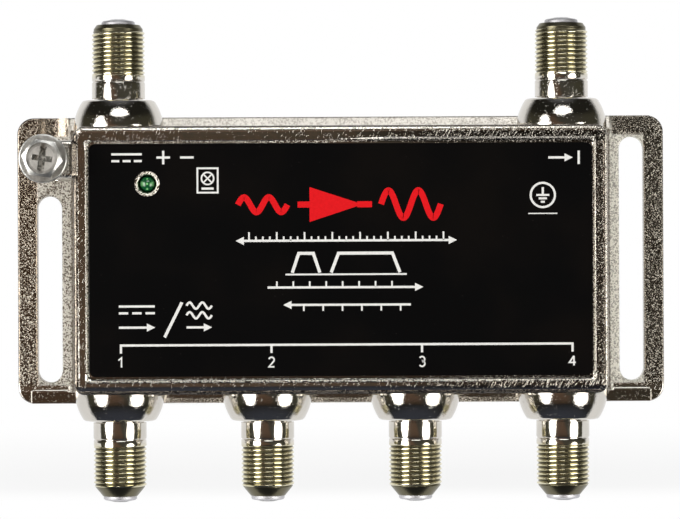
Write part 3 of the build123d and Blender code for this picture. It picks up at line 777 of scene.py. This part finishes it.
def casting_painted_glints(zone, noise):
    """Painted highlights that also roughen: bright spots on the grain's tops, the lip's beads, the
    socket, the corners and the lower strip, painted glints on the scratches and hatching, and
    painted highlight lines on the rim's right side and its crown.
    """
    beads = noise.pits.step(0.47, 0.56) + zone.beside * 0.35
    return (
        noise.fine.step(0.56, 0.62) * zone.rail * (zone.calm - zone.right * 0.2)
        + beads * zone.lip * (1.0 - zone.upper * 0.5) * (1.0 - zone.hatch * 0.3)
        + noise.streaks.step(0.56, 0.62) * zone.hatch * 0.9
        + noise.streaks.step(0.63, 0.67) * zone.scratch * (1.0 - zone.lip) * 0.9
        + zone.rim_line * 0.6
        + zone.crown * 0.5
        + noise.pits.step(0.40, 0.50) * zone.socket
        + noise.fine.step(0.62, 0.66) * zone.plain * zone.right * (1.0 - zone.lip)
        + noise.specks.step(0.64, 0.70) * zone.corner * (1.0 - zone.right * 0.7)
        + noise.fine.step(0.50, 0.60) * zone.low_face * 0.8
    )


def casting_relief(zone, noise):
    """Heights of the casting's surface, as shares of its grain's depth."""
    pitted = zone.border * (zone.right * 0.04 + 0.01) + zone.low_strip * 0.07 + zone.corner * 0.07
    grained = zone.ledge * 0.40 + zone.rail * 0.04 + zone.lip * 0.10 + zone.strip * 0.25 + 0.05
    return (
        noise.fine.step(0.51, 0.67) * zone.rail * zone.calm * 0.16
        + noise.fine.step(0.60, 0.70) * zone.plain * zone.right * 0.11
        + noise.pits.step(0.61, 0.67) * pitted
        + noise.pits.step(0.50, 0.60) * (zone.boss * 0.08 + zone.ledge * 0.08)
        + noise.pits.step(0.66, 0.74) * zone.dome * 0.05
        + noise.fine * zone.dome * 0.01
        + noise.pits.step(0.50, 0.58) * zone.lip * 0.20
        + noise.pits.step(0.48, 0.60) * zone.rim * 0.12
        + zone.lip * 0.30
        + noise.pits * 0.03
        + noise.fine * grained
        + noise.fine.step(0.46, 0.56) * zone.ledge * 0.16
        + noise.streaks.step(0.54, 0.68) * (zone.hatch + zone.scratch * 0.3) * 0.12
        + noise.pits.step(0.44, 0.60) * zone.socket * 0.14
        + noise.streaks.step(0.60, 0.68) * zone.plain * 0.03
        + noise.fine.step(0.48, 0.62) * zone.low_face * 0.08
        + noise.swell * (zone.front * 0.3 + 0.2)
        + zone.turned
    )


def casting_colour(zone, noise, painted_sparkle, nickel):
    """The plating's colour, with painted dark reflections of the surroundings, painted shade in
    hollows and on the rim, and painted highlights.
    """
    right = zone.right
    tone = noise.swell.blend(rgba(nickel), rgba(nickel, 0.93))
    tone = (noise.patch.step(0.45, 0.8) * zone.front * 0.5).blend(tone, (0.56, 0.52, 0.46, 1.0))
    # Painted light and shade: the ledge's right half is painted lighter, and the rails are painted
    # dark brown for the dark room they mirror, darker still on the right.
    ledge = right.blend((0.74, 0.71, 0.65, 1.0), (0.98, 0.96, 0.88, 1.0))
    rail = right.blend((0.31, 0.26, 0.21, 1.0), (0.20, 0.18, 0.15, 1.0))
    tone = zone.rail.blend(zone.ledge.blend(tone, ledge), rail)
    # Painted shade and dark reflection: the hatching, the bare border's right half and part of the
    # lower strip are darkened towards brown.
    bare = (zone.border - zone.lip).math("MAXIMUM", 0.0)
    painted_dark = zone.hatch + bare * right + zone.low_strip * 0.6
    tone = painted_dark.math("MINIMUM", 1.0).blend(tone, (0.25, 0.22, 0.19, 1.0))
    # Painted dark reflection on the scratched upper border and painted shade in the inset line
    # under the label: both are darkened nearly to black.
    tone = (zone.scratch * 0.8 + zone.inset * 0.6).blend(tone, (0.07, 0.066, 0.062, 1.0))
    # Painted highlights: the bright spots and lines take a pale colour.
    tone = painted_sparkle.blend(tone, (0.95, 0.90, 0.80, 1.0))
    # Painted shade: the grain's pits in the ledge and strip, the rounded front edge and the gutter
    # along the box are darkened.
    hollow_shade = noise.specks.fall(0.42, 0.52) * (zone.ledge * (1.0 - right * 0.4) + zone.strip * 0.5)
    return (hollow_shade + zone.rim_shade + zone.gutter * 0.7).blend(tone, (0.16, 0.13, 0.10, 1.0))


def cast_nickel(settings):
    """Bright nickel on a casting: pitted rails, grained ledge, streaked border, smooth domes."""
    material, shader, place = finish("cast_nickel")
    zone = casting_zones(place)
    noise = casting_noises(place, settings.grain)
    painted_sparkle = casting_painted_glints(zone, noise)
    satin = zone.ledge * 0.32 + zone.strip * 0.22 + zone.boss * 0.12 - zone.dome * 0.03
    feed(shader, {
        "Base Color": casting_colour(zone, noise, painted_sparkle, settings.nickel),
        "Metallic": 1.0,
        "Roughness": 0.05 + satin + painted_sparkle * 0.25 + noise.fine * 0.06 + noise.patch * 0.04,
        "Normal": casting_relief(zone, noise).relief(settings.grain_depth),
    })
    return material


class AMPLIFIER_OT_housing(bpy.types.Operator):
    """Give the casting its plated and grained finish"""

    bl_idname = "amplifier.housing"
    bl_label = "Housing"

    def execute(self, context):
        dress("housing", cast_nickel(context.scene.amplifier_housing))
        return {"FINISHED"}


# Label


def label_black(settings):
    """Black printed film: a faint warm mottle of painted sheen, fine dust specks and a semi-gloss
    top.
    """
    material, shader, place = finish("label_black")
    mottle = place.noise(18 * MM, 3.0)
    orange_peel = place.noise(0.9 * MM, 2.0)
    dust = place.noise(0.35 * MM, 1.0).step(0.79, 0.83)
    # Painted sheen: warmer, lighter patches in the black stand in for the brown room mirrored in
    # the film.
    painted_sheen = [share * part for share, part in zip((1.8, 1.45, 1.2), settings.ground)]
    ground = mottle.step(0.4, 0.75).blend(rgba(settings.ground), rgba(painted_sheen))
    feed(shader, {
        "Base Color": (dust * 0.35).blend(ground, (0.06, 0.055, 0.05, 1.0)),
        "Roughness": 0.26 + mottle * 0.08,
        "Specular IOR Level": 0.08,
        "Normal": orange_peel.relief(0.0012 * MM),
    })
    return material


class AMPLIFIER_OT_label(bpy.types.Operator):
    """Give the label its black film"""

    bl_idname = "amplifier.label"
    bl_label = "Label"

    def execute(self, context):
        dress("front_label", label_black(context.scene.amplifier_label))
        return {"FINISHED"}


def ink(name, colour):
    """Screen-printed ink: slightly uneven cover and a soft sheen."""
    material, shader, place = finish(name)
    cover = place.noise(0.45 * MM, 3.0)
    feed(shader, {
        "Base Color": cover.step(0.25, 0.75).blend(rgba(colour, 0.90), rgba(colour)),
        "Roughness": 0.42 + cover * 0.15,
        "Specular IOR Level": 0.12,
        "Normal": cover.relief(0.002 * MM),
    })
    return material


def arc(x, z, radius, start, end, count=24):
    """Points on an arc about a centre, between two angles in degrees."""
    turn = np.radians(np.linspace(start, end, count))
    return np.stack([x + radius * np.cos(turn), z + radius * np.sin(turn)], axis=1)


class Print:
    """The strokes of one ink on the label, in millimetres, from the left end of each sign."""

    def __init__(self, line):
        self.line = line
        self.strokes = []

    def stroke(self, path, width=None, closed=False):
        """A line along a path. Its width may fall along it, which makes a triangle."""
        half = np.asarray(self.line if width is None else width, float) / 2
        points = np.asarray(path, float)
        self.strokes.append((points * MM, half * MM, closed))

    def level(self, x, z, width, line=None):
        """A level line."""
        self.stroke([(x, z), (x + width, z)], line)

    def ring(self, x, z, radius, line=None):
        """A full circle about a centre."""
        self.stroke(arc(x, z, radius, 0, 360, 65)[:-1], line, True)

    def current(self, x, z, width):
        """Direct current: a line over three dashes."""
        dash = 0.26 * width
        gap = 1.5 * self.line
        self.level(x, z + gap, width)
        for start in np.linspace(x, x + width - dash, 3):
            self.level(start, z - gap, dash)

    def plus(self, x, z, width):
        """A plus."""
        self.level(x, z, width)
        self.stroke([(x + width / 2, z - width / 2), (x + width / 2, z + width / 2)])

    def wave(self, x, z, width, height, turns, line=None):
        """A sine wave of a full height, over a number of turns."""
        share = np.linspace(0, 1, 96)
        rise = height / 2 * np.sin(2 * pi * turns * share)
        self.stroke(np.stack([x + width * share, z + rise], axis=1), line)

    def arrow(self, x, z, width, head=None):
        """An arrow, which points left if its width is below zero. The shaft ends in the head."""
        head = 3.6 * self.line if head is None else head
        foot = x + width - np.sign(width) * head
        self.stroke([(x, z), (foot, z)])
        self.stroke([(foot, z), (x + width, z)], [head, self.line / 10])

    def ticks(self, x, z, width, count, reach, every=0):
        """Short lines across a level line, the first of each few twice as long."""
        for number, start in enumerate(np.linspace(x, x + width, count)):
            long = 2 if every and number % every == 0 else 1
            self.stroke([(start, z), (start, z + reach * long)], 0.75 * self.line)

    def band(self, x, z, width, rise, slope):
        """A pass band: up a slope, along the top and down again."""
        top = z + rise
        path = [(x, z), (x + slope, top), (x + width - slope, top), (x + width, z)]
        self.stroke(path, 1.4 * self.line)

    def lamp_box(self, x, z, width):
        """A lamp's sign over a short line, in an upright box."""
        half, tall = width / 2, 0.6 * width
        middle, top = x + half, z + 0.1 * width
        radius = 0.3 * width
        corners = [(x, z + tall), (x + width, z + tall), (x + width, z - tall), (x, z - tall)]
        self.stroke(corners, 0.8 * self.line, True)
        self.ring(middle, top, radius, 0.7 * self.line)
        for side in (-1, 1):
            reach = radius * np.array([(-side, -1.0), (side, 1.0)]) / 2 ** 0.5
            self.stroke(reach + (middle, top), 0.65 * self.line)
        self.level(middle - radius, z - 0.4 * width, 2 * radius, self.line)

    def earth_ring(self, x, z, width):
        """An earth sign in a ring, over a thin line."""
        half = width / 2
        middle = x + half
        self.ring(middle, z, half, 0.95 * self.line)
        self.stroke([(middle, z + 0.32 * width), (middle, z)])
        for share, drop in ((0.54, 0.0), (0.34, 0.14), (0.16, 0.28)):
            self.level(middle - share * half, z - drop * width, 2 * share * half, 0.9 * self.line)
        self.level(middle - 1.2 * half, z - 0.76 * width, 2.4 * half, 0.5 * self.line)

    def bracket(self, x, z, width, columns, drop):
        """A level line with a short line down at each column."""
        self.level(x - self.line / 2, z, width + self.line)
        for column in columns:
            self.stroke([(column, z), (column, z - drop)])

    def digit(self, number, x, z, height):
        """One of the numbers 1 to 4 about a centre."""
        half = height / 2
        bow = 0.27 * height
        if number == 1:
            paths = [[(-bow, half - bow), (0.05 * height, half), (0.05 * height, -half)]]
        elif number == 2:
            top = arc(0, half - bow, bow, 165, -35, 20)
            paths = [np.concatenate([top, [(-bow, -half), (1.1 * bow, -half)]])]
        elif number == 3:
            low = half - bow
            bows = arc(0, low, bow, 150, -70, 20), arc(0, -low, 1.08 * bow, 75, -150, 20)
            paths = [np.concatenate(bows)]
        else:
            knee = -0.18 * height
            paths = [
                [(0.14 * height, -half), (0.14 * height, half)],
                [(0.14 * height, half), (-0.34 * height, knee), (0.34 * height, knee)],
            ]
        for path in paths:
            self.stroke(np.asarray(path) + (x, z), 0.7 * self.line)

    def piece(self, name, material, low, high):
        """All strokes as one flat piece between two depths. Strokes that cross differ a little."""
        made = [
            ribbon(path, half, low, high + number % 8 * INK_STEP, closed)
            for number, (path, half, closed) in enumerate(self.strokes)
        ]
        piece = new_piece(name, *joined(made), material)
        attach(piece, "root")


def white_signs(line):
    """The light signs of the label."""
    white = Print(line)
    white.current(*SIGNS["power_current"])
    white.plus(*SIGNS["power_plus"])
    white.level(*SIGNS["power_minus"])
    white.lamp_box(*SIGNS["lamp_box"])
    white.earth_ring(*SIGNS["earth_ring"])

    x, z, width = SIGNS["input_arrow"]
    white.arrow(x, z, 0.8 * width)
    white.stroke([(x + width, z - 0.22 * width), (x + width, z + 0.22 * width)])

    white.current(*SIGNS["remote_current"])
    white.arrow(*SIGNS["remote_arrow"])
    x, z, width = SIGNS["either_slash"]
    white.stroke([(x, z - width), (x + width, z + width)], 1.3 * line)
    x, z, width = SIGNS["signal_waves"]
    for step in (-1, 1):
        white.wave(x, z + 0.19 * step * width, width, 0.25 * width, 2)
    white.arrow(*SIGNS["signal_arrow"])

    x, z, width = SIGNS["band_rule"]
    white.arrow(x + width / 2, z, width / 2)
    white.arrow(x + width / 2, z, -width / 2)
    white.ticks(x + 0.06 * width, z, 0.88 * width, 29, 1.9 * line, 4)
    white.band(*SIGNS["narrow_band"], 8.6 * line, 2.9 * line)
    white.band(*SIGNS["wide_band"], 8.6 * line, 3.3 * line)
    white.level(*SIGNS["band_base"], 0.75 * line)
    x, z, width = SIGNS["forward_arrow"]
    white.arrow(x, z, width)
    white.ticks(x + 0.06 * width, z, 0.74 * width, 8, 2.7 * line)
    x, z, width = SIGNS["return_arrow"]
    white.arrow(x + width, z, -width)
    white.ticks(x + 0.16 * width, z, 0.76 * width, 6, -2.7 * line)

    x, z, width = SIGNS["output_bracket"]
    columns = np.linspace(x, x + width, 4)
    white.bracket(x, z, width, columns, 3.6 * line)
    for number, column in enumerate(columns, start=1):
        white.digit(number, column, z - DIGIT_DROP, DIGIT_HEIGHT)
    return white


def red_signs(line):
    """The large signs of the label: a small wave, an amplifier and a large wave."""
    red = Print(line)
    x, z, width = SIGNS["small_wave"]
    red.wave(x, z, width, 0.3 * width, 2)
    x, z, width = SIGNS["amplifier"]
    red.level(x, z, 0.16 * width)
    red.level(x + 0.80 * width, z, 0.20 * width)
    red.stroke([(x + 0.16 * width, z), (x + 0.86 * width, z)], [0.47 * width, 0.01 * width])
    x, z, width = SIGNS["large_wave"]
    red.wave(x, z, width, 0.46 * width, 2)
    return red


class AMPLIFIER_OT_marks(bpy.types.Operator):
    """Print the plain signs and the numbers of the outputs on the label"""

    bl_idname = "amplifier.marks"
    bl_label = "Printed marks"

    def execute(self, context):
        settings = context.scene.amplifier_label
        face = -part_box("front_label")[0][1]
        low, high = face + INK_LOW, face + INK_HIGH
        line = settings.stroke / MM
        white, red = ink("white_ink", settings.white_ink), ink("red_ink", settings.red_ink)
        white_signs(line).piece("light_marks", white, low, high)
        red_signs(RED_LINE * line).piece("red_marks", red, low, high)
        return {"FINISHED"}


# Ports


def thread_height(rise, crest, root):
    """The share of a thread's depth at a share of its pitch, from its flat crest to its flat root.

    A flank goes from 1 at the crest's edge to 0 at the root's. It is a straight line for the most
    part, with some of a smooth step, which rounds both of its ends.
    """
    away = np.abs((rise + 0.5) % 1.0 - 0.5)
    flank = np.clip((0.5 * (1 - root) - away) / (0.5 * (1 - root) - 0.5 * crest), 0, 1)
    return flank * flank * (3 - 2 * flank) * 0.35 + flank * 0.65


def barrel_points(settings, tip, taper_length, nose_radius):
    """Radii, heights, turns and lifts of a barrel's points, in rows along it and columns round it.

    The outline is a closed loop of radius and height: up the outside from the boss, over the lip
    and down the mouth and bore. Between the relief and the lip the radius is the root plus the
    thread's depth times its height at (height - first crest) / pitch - turn / full turn, so that
    one ridge climbs a pitch in each turn. It never passes the cone of the nose. The lift is the
    share of the thread's depth, from 0 at its root to 1 at its crest and on all that is plain.
    """
    pitch, depth = settings.pitch, settings.thread_depth
    top, mouth = tip - LIP_LENGTH, tip - MOUTH_DEPTH
    foot = [
        (SHANK_RADIUS, SHANK_START), (SHANK_RADIUS, BOSS_TOP),
        (UNDERCUT_RADIUS, BOSS_TOP), (UNDERCUT_RADIUS, NECK_START),
        (NECK_RADIUS, NECK_START), (NECK_RADIUS, NECK_END),
        (GROOVE_RADIUS, GROOVE_HEIGHT), (RELIEF_RADIUS, RELIEF_START), (RELIEF_RADIUS, RELIEF_END),
    ]
    lip = [
        (LIP_RADIUS, top), (LIP_RADIUS, tip - LIP_ROUND), (LIP_RADIUS - LIP_ROUND, tip),
        (MOUTH_RADIUS, tip), (MOUTH_RADIUS, mouth),
        (BORE_RADIUS, mouth), (BORE_RADIUS, SHANK_START),
    ]
    outer = softened(np.array(foot), EDGE_SOFTNESS)[1:-1]
    inner = softened(np.array(lip), EDGE_SOFTNESS)[1:-1]
    heights = np.append(np.arange(RELIEF_END, top, pitch / settings.steps_per_turn)[1:], top)
    turn = np.linspace(0, 2 * pi, settings.steps_round, endpoint=False)
    rise = (heights[:, None] - FIRST_CREST) / pitch - turn / (2 * pi)
    fade = pitch / 3
    start = np.clip(1 - (heights - RELIEF_END) / fade, 0, 1)[:, None]
    end = np.clip((LAST_CREST - heights) / fade + 0.5, 0, 1)[:, None]
    ridge = thread_height(rise, CREST_SHARE, ROOT_SHARE) * end
    radius = CREST_RADIUS - depth + depth * np.maximum(ridge, start)
    share = np.clip((heights - top + taper_length) / taper_length, 0, 1)
    cone = CREST_RADIUS + (nose_radius - CREST_RADIUS) * share
    radius = np.minimum(radius, cone[:, None])
    lift = np.clip((radius - CREST_RADIUS + depth) / depth, 0, 1)
    plain = [np.repeat(run[:, :1], len(turn), axis=1) for run in (outer, inner)]
    return (
        np.concatenate([plain[0], radius, plain[1]]),
        np.concatenate([outer[:, 1], heights, inner[:, 1]]),
        turn,
        np.concatenate([np.ones_like(plain[0]), lift, np.ones_like(plain[1])]),
    )


def port_nickel(warm, nickel):
    """Turned and plated brass: bright with faint turning lines, warmer on the threads, and with
    painted shade in the thread roots.
    """
    material, shader, place = finish("port_nickel")
    _, _, z = place.parts()
    threaded = abs(z).step(*THREAD_FINISH)
    lip = abs(z).step(*LIP_FINISH)
    smear = place.noise(1.1 * MM, 2.0, 0.5, (1.0, 1.0, 0.5))
    lines = place.noise(0.16 * MM, 2.0, 0.5, (30.0, 30.0, 1.0))
    pits = place.noise(0.42 * MM, 3.0, 0.6)
    swell = place.noise(3.5 * MM, 2.0)
    lift = place.node("ShaderNodeAttribute", {"attribute_name": "lift"}, {}, "Fac")
    root = lift.fall(0.2, 0.7)
    tone = threaded.blend(rgba(nickel), rgba(warm))
    tone = (pits.step(0.52, 0.75) * threaded * 0.3).blend(tone, (0.30, 0.26, 0.17, 1.0))
    # Painted shade: the thread roots are darkened nearly to black.
    tone = (root * 0.92).blend(tone, (0.10, 0.09, 0.055, 1.0))
    tone = lip.blend(tone, (0.58, 0.575, 0.60, 1.0))
    height = swell * 0.8 + lines * 0.06 + smear * 0.16 + pits * (threaded * 0.35 + 0.05)
    height = height + pits.step(0.60, 0.70) * (1.0 - threaded) * z.step(*UPPER_HALF) * 0.35
    feed(shader, {
        "Base Color": tone,
        "Metallic": 1.0,
        "Roughness": 0.09 + threaded * 0.02 + smear * 0.05 + lip * 0.40 + root * 0.18,
        "Normal": height.relief(0.035 * MM),
    })
    return material


def insulator_white():
    """Moulded plastic in the mouth of a port: nearly white, with a fine mould texture."""
    material, shader, place = finish("insulator_white")
    mottle = place.noise(1.2 * MM, 3.0)
    grain = place.noise(0.18 * MM, 2.0)
    feed(shader, {
        "Base Color": mottle.blend((0.62, 0.62, 0.64, 1.0), (0.74, 0.74, 0.75, 1.0)),
        "Roughness": 0.38 + grain * 0.15,
        "Normal": grain.relief(0.008 * MM),
    })
    return material


def contact_metal():
    """Plated spring bronze: pale gold with fine draw lines."""
    material, shader, place = finish("contact_metal")
    lines = place.noise(0.2 * MM, 2.0, 0.5, (1.0, 1.0, 12.0))
    feed(shader, {
        "Base Color": lines.blend((0.80, 0.66, 0.36, 1.0), (0.70, 0.56, 0.30, 1.0)),
        "Metallic": 1.0,
        "Roughness": 0.22 + lines * 0.14,
        "Normal": lines.relief(0.006 * MM),
    })
    return material


class AMPLIFIER_OT_ports(bpy.types.Operator):
    """Make the barrels with their wound threads, and finish the insulators and contacts"""

    bl_idname = "amplifier.ports"
    bl_label = "Ports"

    def execute(self, context):
        settings = context.scene.amplifier_ports
        material = port_nickel(settings.warm, context.scene.amplifier_housing.nickel)
        insulator = insulator_white()
        contact = contact_metal()
        for number, (name, up) in enumerate(PORTS.items()):
            column, axis, _ = middle_of(name + "_barrel")
            low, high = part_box(name + "_barrel")
            tip = max(abs(low[2]), abs(high[2]))
            radius, height, turn, lift = barrel_points(settings, tip, *NOSES[up])
            turn = turn + number
            points = np.stack([
                column + up * radius * np.cos(turn),
                axis + radius * np.sin(turn),
                up * np.repeat(height[:, None], len(turn), axis=1),
            ], axis=-1)
            faces = grid_faces(*radius.shape)
            piece = new_piece(name + "_threaded_barrel", points, faces, material, SMOOTH_ANGLE)
            lifts = piece.data.attributes.new("lift", "FLOAT", "POINT")
            lifts.data.foreach_set("value", lift.ravel())
            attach(piece, "root")
            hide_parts(name + "_barrel")
            dress(name + "_barrel", material)
            dress(name + "_insulator", insulator)
            dress(name + "_contact", contact)
        return {"FINISHED"}


# Indicator lamp


def lens_green(settings):
    """Tinted resin over the lamp's cup: dark rim, two lighter wedges of painted reflection and
    small painted highlights inside.
    """
    material, shader, place = finish("lens_green")
    x, y, z = middle_of("led_lens")
    radius, (across, up) = round_place(place, (x, y, z), "Y")
    turn = abs(up).math("ARCTAN2", abs(across))
    wedge = turn.fall(*WEDGE_TURN) * radius.step(*WEDGE_START) * radius.fall(*WEDGE_END)
    from_high, _ = round_place(place, (x, y, z + GLINT_OFFSET), "Y")
    from_low, _ = round_place(place, (x, y, z - GLINT_OFFSET), "Y")
    glints = radius.fall(*MIDDLE_GLINT) + from_high.fall(*HIGH_GLINT) + from_low.fall(*LOW_GLINT)
    haze = place.noise(0.6 * MM, 2.0)
    # Painted reflection and highlights: the wedges and glints lighten the resin of the unlit lamp.
    glow = (wedge * (0.25 + haze * 0.5) + glints * 0.9).math("MINIMUM", 1.0)
    resin = radius.step(*LENS_RIM).blend(rgba(settings.resin), rgba(settings.resin, 0.35))
    feed(shader, {
        "Base Color": glow.blend(resin, rgba(settings.painted_glint)),
        "Roughness": 0.10 + haze * 0.06,
        "Coat Weight": 0.4,
        "Coat Roughness": 0.04,
        "Normal": haze.relief(0.004 * MM),
    })
    return material


class AMPLIFIER_OT_lamp(bpy.types.Operator):
    """Give the indicator lamp its tinted lens, leads and spacer"""

    bl_idname = "amplifier.lamp"
    bl_label = "Lamp"

    def execute(self, context):
        dress("led_lens", lens_green(context.scene.amplifier_lamp))
        dress("led_leads", tinned("tinned_lead", 0.3 * MM))
        dress("led_spacer", moulded("nylon_black", (0.02, 0.02, 0.021), 0.5, 0.4 * MM))
        return {"FINISHED"}


# Screw and washer


def zinc_plate(name, centre, top):
    """Clear zinc on steel: cloudy crystals and turning lines about the axis, with painted
    highlights on the recess walls and painted patches of highlight and shade on the recess floors.
    """
    material, shader, place = finish(name)
    radius, _ = round_place(place, centre, "Y")
    sunk = place.parts()[1] - top
    inner = radius.fall(*RECESS_EDGE)
    wall = inner * sunk.step(*RECESS_WALL)
    floor = inner * sunk.step(*RECESS_FLOOR)
    cloud = place.noise(1.2 * MM, 3.0, 0.6)
    crystal = place.node("ShaderNodeTexVoronoi", {}, {"Vector": place, "Scale": CRYSTALS})
    lines = (radius * TURNING_LINES).math("SINE")
    tone = cloud.step(0.3, 0.7).blend((0.52, 0.52, 0.50, 1.0), (0.76, 0.75, 0.71, 1.0))
    # Painted light in the recesses: bright walls, and floors in patches of painted highlight and
    # painted shade.
    glints = place.noise(0.6 * MM, 2.0).step(0.40, 0.60)
    recess = glints.blend((0.20, 0.20, 0.18, 1.0), (0.80, 0.79, 0.74, 1.0))
    tone = floor.blend(wall.blend(tone, (0.95, 0.94, 0.90, 1.0)), recess)
    feed(shader, {
        "Base Color": (crystal * 0.25).blend(tone, (0.42, 0.43, 0.45, 1.0)),
        "Metallic": 1.0,
        "Roughness": 0.27 + cloud * 0.16,
        "Normal": (lines * 0.10 + crystal * 0.25 + cloud * 0.5).relief(0.03 * MM),
    })
    return material


class AMPLIFIER_OT_screw(bpy.types.Operator):
    """Give the ground screw and its lock washer their zinc plate"""

    bl_idname = "amplifier.screw"
    bl_label = "Ground screw"

    def execute(self, context):
        centre = middle_of("ground_screw")
        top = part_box("ground_screw")[0][1]
        dress("ground_screw", zinc_plate("zinc_screw", centre, top))
        dress("ground_lock_washer", zinc_plate("zinc_washer", centre, top))
        return {"FINISHED"}


# Back


def tinned(name, size):
    """Tin on sheet or wire: soft satin with rolling lines and faint stains."""
    material, shader, place = finish(name)
    lines = place.noise(size, 3.0, 0.5, (14.0, 1.0, 1.0))
    stain = place.noise(size * 18, 3.0)
    feed(shader, {
        "Base Color": stain.step(0.35, 0.7).blend((0.60, 0.61, 0.61, 1.0), (0.55, 0.55, 0.54, 1.0)),
        "Metallic": 1.0,
        "Roughness": 0.27 + stain * 0.14 + lines * 0.06,
        "Normal": (lines * 0.3 + stain).relief(size * 0.025),
    })
    return material


def solder_bead():
    """Soft solder: bright, with frozen ripples and dull spots of flux."""
    material, shader, place = finish("solder")
    ripple = place.noise(1.7 * MM, 3.0, 0.55)
    flux = place.noise(3 * MM, 2.0).step(0.6, 0.75)
    feed(shader, {
        "Base Color": (flux * 0.5).blend((0.70, 0.70, 0.72, 1.0), (0.42, 0.38, 0.30, 1.0)),
        "Metallic": 1.0,
        "Roughness": 0.16 + ripple * 0.12 + flux * 0.2,
        "Normal": ripple.relief(0.4 * MM),
    })
    return material


class AMPLIFIER_OT_back(bpy.types.Operator):
    """Finish the back cover and its solder"""

    bl_idname = "amplifier.back"
    bl_label = "Back"

    def execute(self, context):
        dress("back_cover", tinned("cover_sheet", 0.2 * MM))
        dress("solder_seam", solder_bead())
        return {"FINISHED"}


# Inside


def moulded(name, colour, roughness, size):
    """Moulded plastic, epoxy or ceramic: a fine grain and slightly uneven colour."""
    material, shader, place = finish(name)
    grain = place.noise(size, 3.0)
    paler = [min(1.0, 1.25 * part + 0.004) for part in colour]
    feed(shader, {
        "Base Color": grain.blend(rgba(colour), rgba(paler)),
        "Roughness": roughness + grain * 0.12,
        "Normal": grain.relief(size * 0.04),
    })
    return material


def board_green():
    """Solder mask over glass cloth: its weave shows faintly, with paler copper areas."""
    material, shader, place = finish("board_green")
    x, _, z = place.parts()
    weave = (x * CLOTH_THREADS).math("SINE") * (z * CLOTH_THREADS).math("SINE")
    copper = place.noise(6 * MM, 1.0).step(0.48, 0.52)
    feed(shader, {
        "Base Color": copper.blend((0.010, 0.105, 0.035, 1.0), (0.025, 0.20, 0.075, 1.0)),
        "Roughness": 0.30 + copper * 0.08,
        "Normal": (weave * 0.2 + copper).relief(0.02 * MM),
    })
    return material


def wound_copper():
    """Enamelled copper wire, wound: close lines along the board's depth and a red-brown glow."""
    material, shader, place = finish("copper_wire")
    _, y, _ = place.parts()
    turns = (y * WIRE_TURNS).math("SINE")
    tone = place.noise(2 * MM, 2.0)
    feed(shader, {
        "Base Color": tone.blend((0.62, 0.24, 0.10, 1.0), (0.72, 0.33, 0.15, 1.0)),
        "Metallic": 1.0,
        "Roughness": 0.26 + tone * 0.1,
        "Normal": turns.relief(0.05 * MM),
    })
    return material


class AMPLIFIER_OT_inside(bpy.types.Operator):
    """Finish the board and the parts on it"""

    bl_idname = "amplifier.inside"
    bl_label = "Inside"

    def execute(self, context):
        copper = wound_copper()
        ferrite = moulded("ferrite", (0.045, 0.045, 0.05), 0.55, 0.5 * MM)
        chips = moulded("chip_black", (0.014, 0.014, 0.015), 0.45, 0.3 * MM)
        finishes = {
            "circuit_board": board_green(),
            "board_screws": zinc_plate("zinc_board_screw", (0.0, 0.0, 0.0), 0.0),
            "amplifier_chips": chips,
            "voltage_regulator": chips,
            "chip_resistors": chips,
            "chip_capacitors": moulded("ceramic_tan", (0.46, 0.33, 0.19), 0.5, 0.4 * MM),
            "electrolytic_capacitors": tinned("can_aluminium", 0.3 * MM),
            "choke_core": ferrite,
            "splitter_cores": ferrite,
            "choke_winding": copper,
            "splitter_windings": copper,
            "filter_coils": copper,
            "surge_arrester": moulded("ceramic_tube", (0.70, 0.68, 0.63), 0.35, 0.6 * MM),
            "shield_wall": tinned("shield_sheet", 0.2 * MM),
        }
        for node, material in finishes.items():
            dress(node, material)
        return {"FINISHED"}


class AMPLIFIER_PT_panel(bpy.types.Panel):
    """The steps of the amplifier in the sidebar"""

    bl_idname = "AMPLIFIER_PT_panel"
    bl_label = "Amplifier"
    bl_space_type = "VIEW_3D"
    bl_region_type = "UI"
    bl_category = "Amplifier"

    def draw(self, context):
        for operator in operators:
            self.layout.operator(operator.bl_idname)


settings_groups = {
    "amplifier_stage": StageSettings,
    "amplifier_housing": HousingSettings,
    "amplifier_label": LabelSettings,
    "amplifier_ports": PortSettings,
    "amplifier_lamp": LampSettings,
}
operators = [
    AMPLIFIER_OT_stage,
    AMPLIFIER_OT_housing,
    AMPLIFIER_OT_label,
    AMPLIFIER_OT_marks,
    AMPLIFIER_OT_ports,
    AMPLIFIER_OT_lamp,
    AMPLIFIER_OT_screw,
    AMPLIFIER_OT_back,
    AMPLIFIER_OT_inside,
]


def register():
    """Register the classes and hang the settings on the scene."""
    for name, group in settings_groups.items():
        bpy.utils.register_class(group)
        setattr(bpy.types.Scene, name, PointerProperty(type=group))
    for made in [*operators, AMPLIFIER_PT_panel]:
        bpy.utils.register_class(made)


def unregister():
    """Take the classes and the settings away again."""
    for made in [AMPLIFIER_PT_panel, *reversed(operators)]:
        bpy.utils.unregister_class(made)
    for name, group in reversed(settings_groups.items()):
        delattr(bpy.types.Scene, name)
        bpy.utils.unregister_class(group)


def main():
    """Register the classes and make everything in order."""
    register()
    bpy.ops.amplifier.stage()
    bpy.ops.amplifier.housing()
    bpy.ops.amplifier.label()
    bpy.ops.amplifier.marks()
    bpy.ops.amplifier.ports()
    bpy.ops.amplifier.lamp()
    bpy.ops.amplifier.screw()
    bpy.ops.amplifier.back()
    bpy.ops.amplifier.inside()


if __name__ == "__main__":
    main()
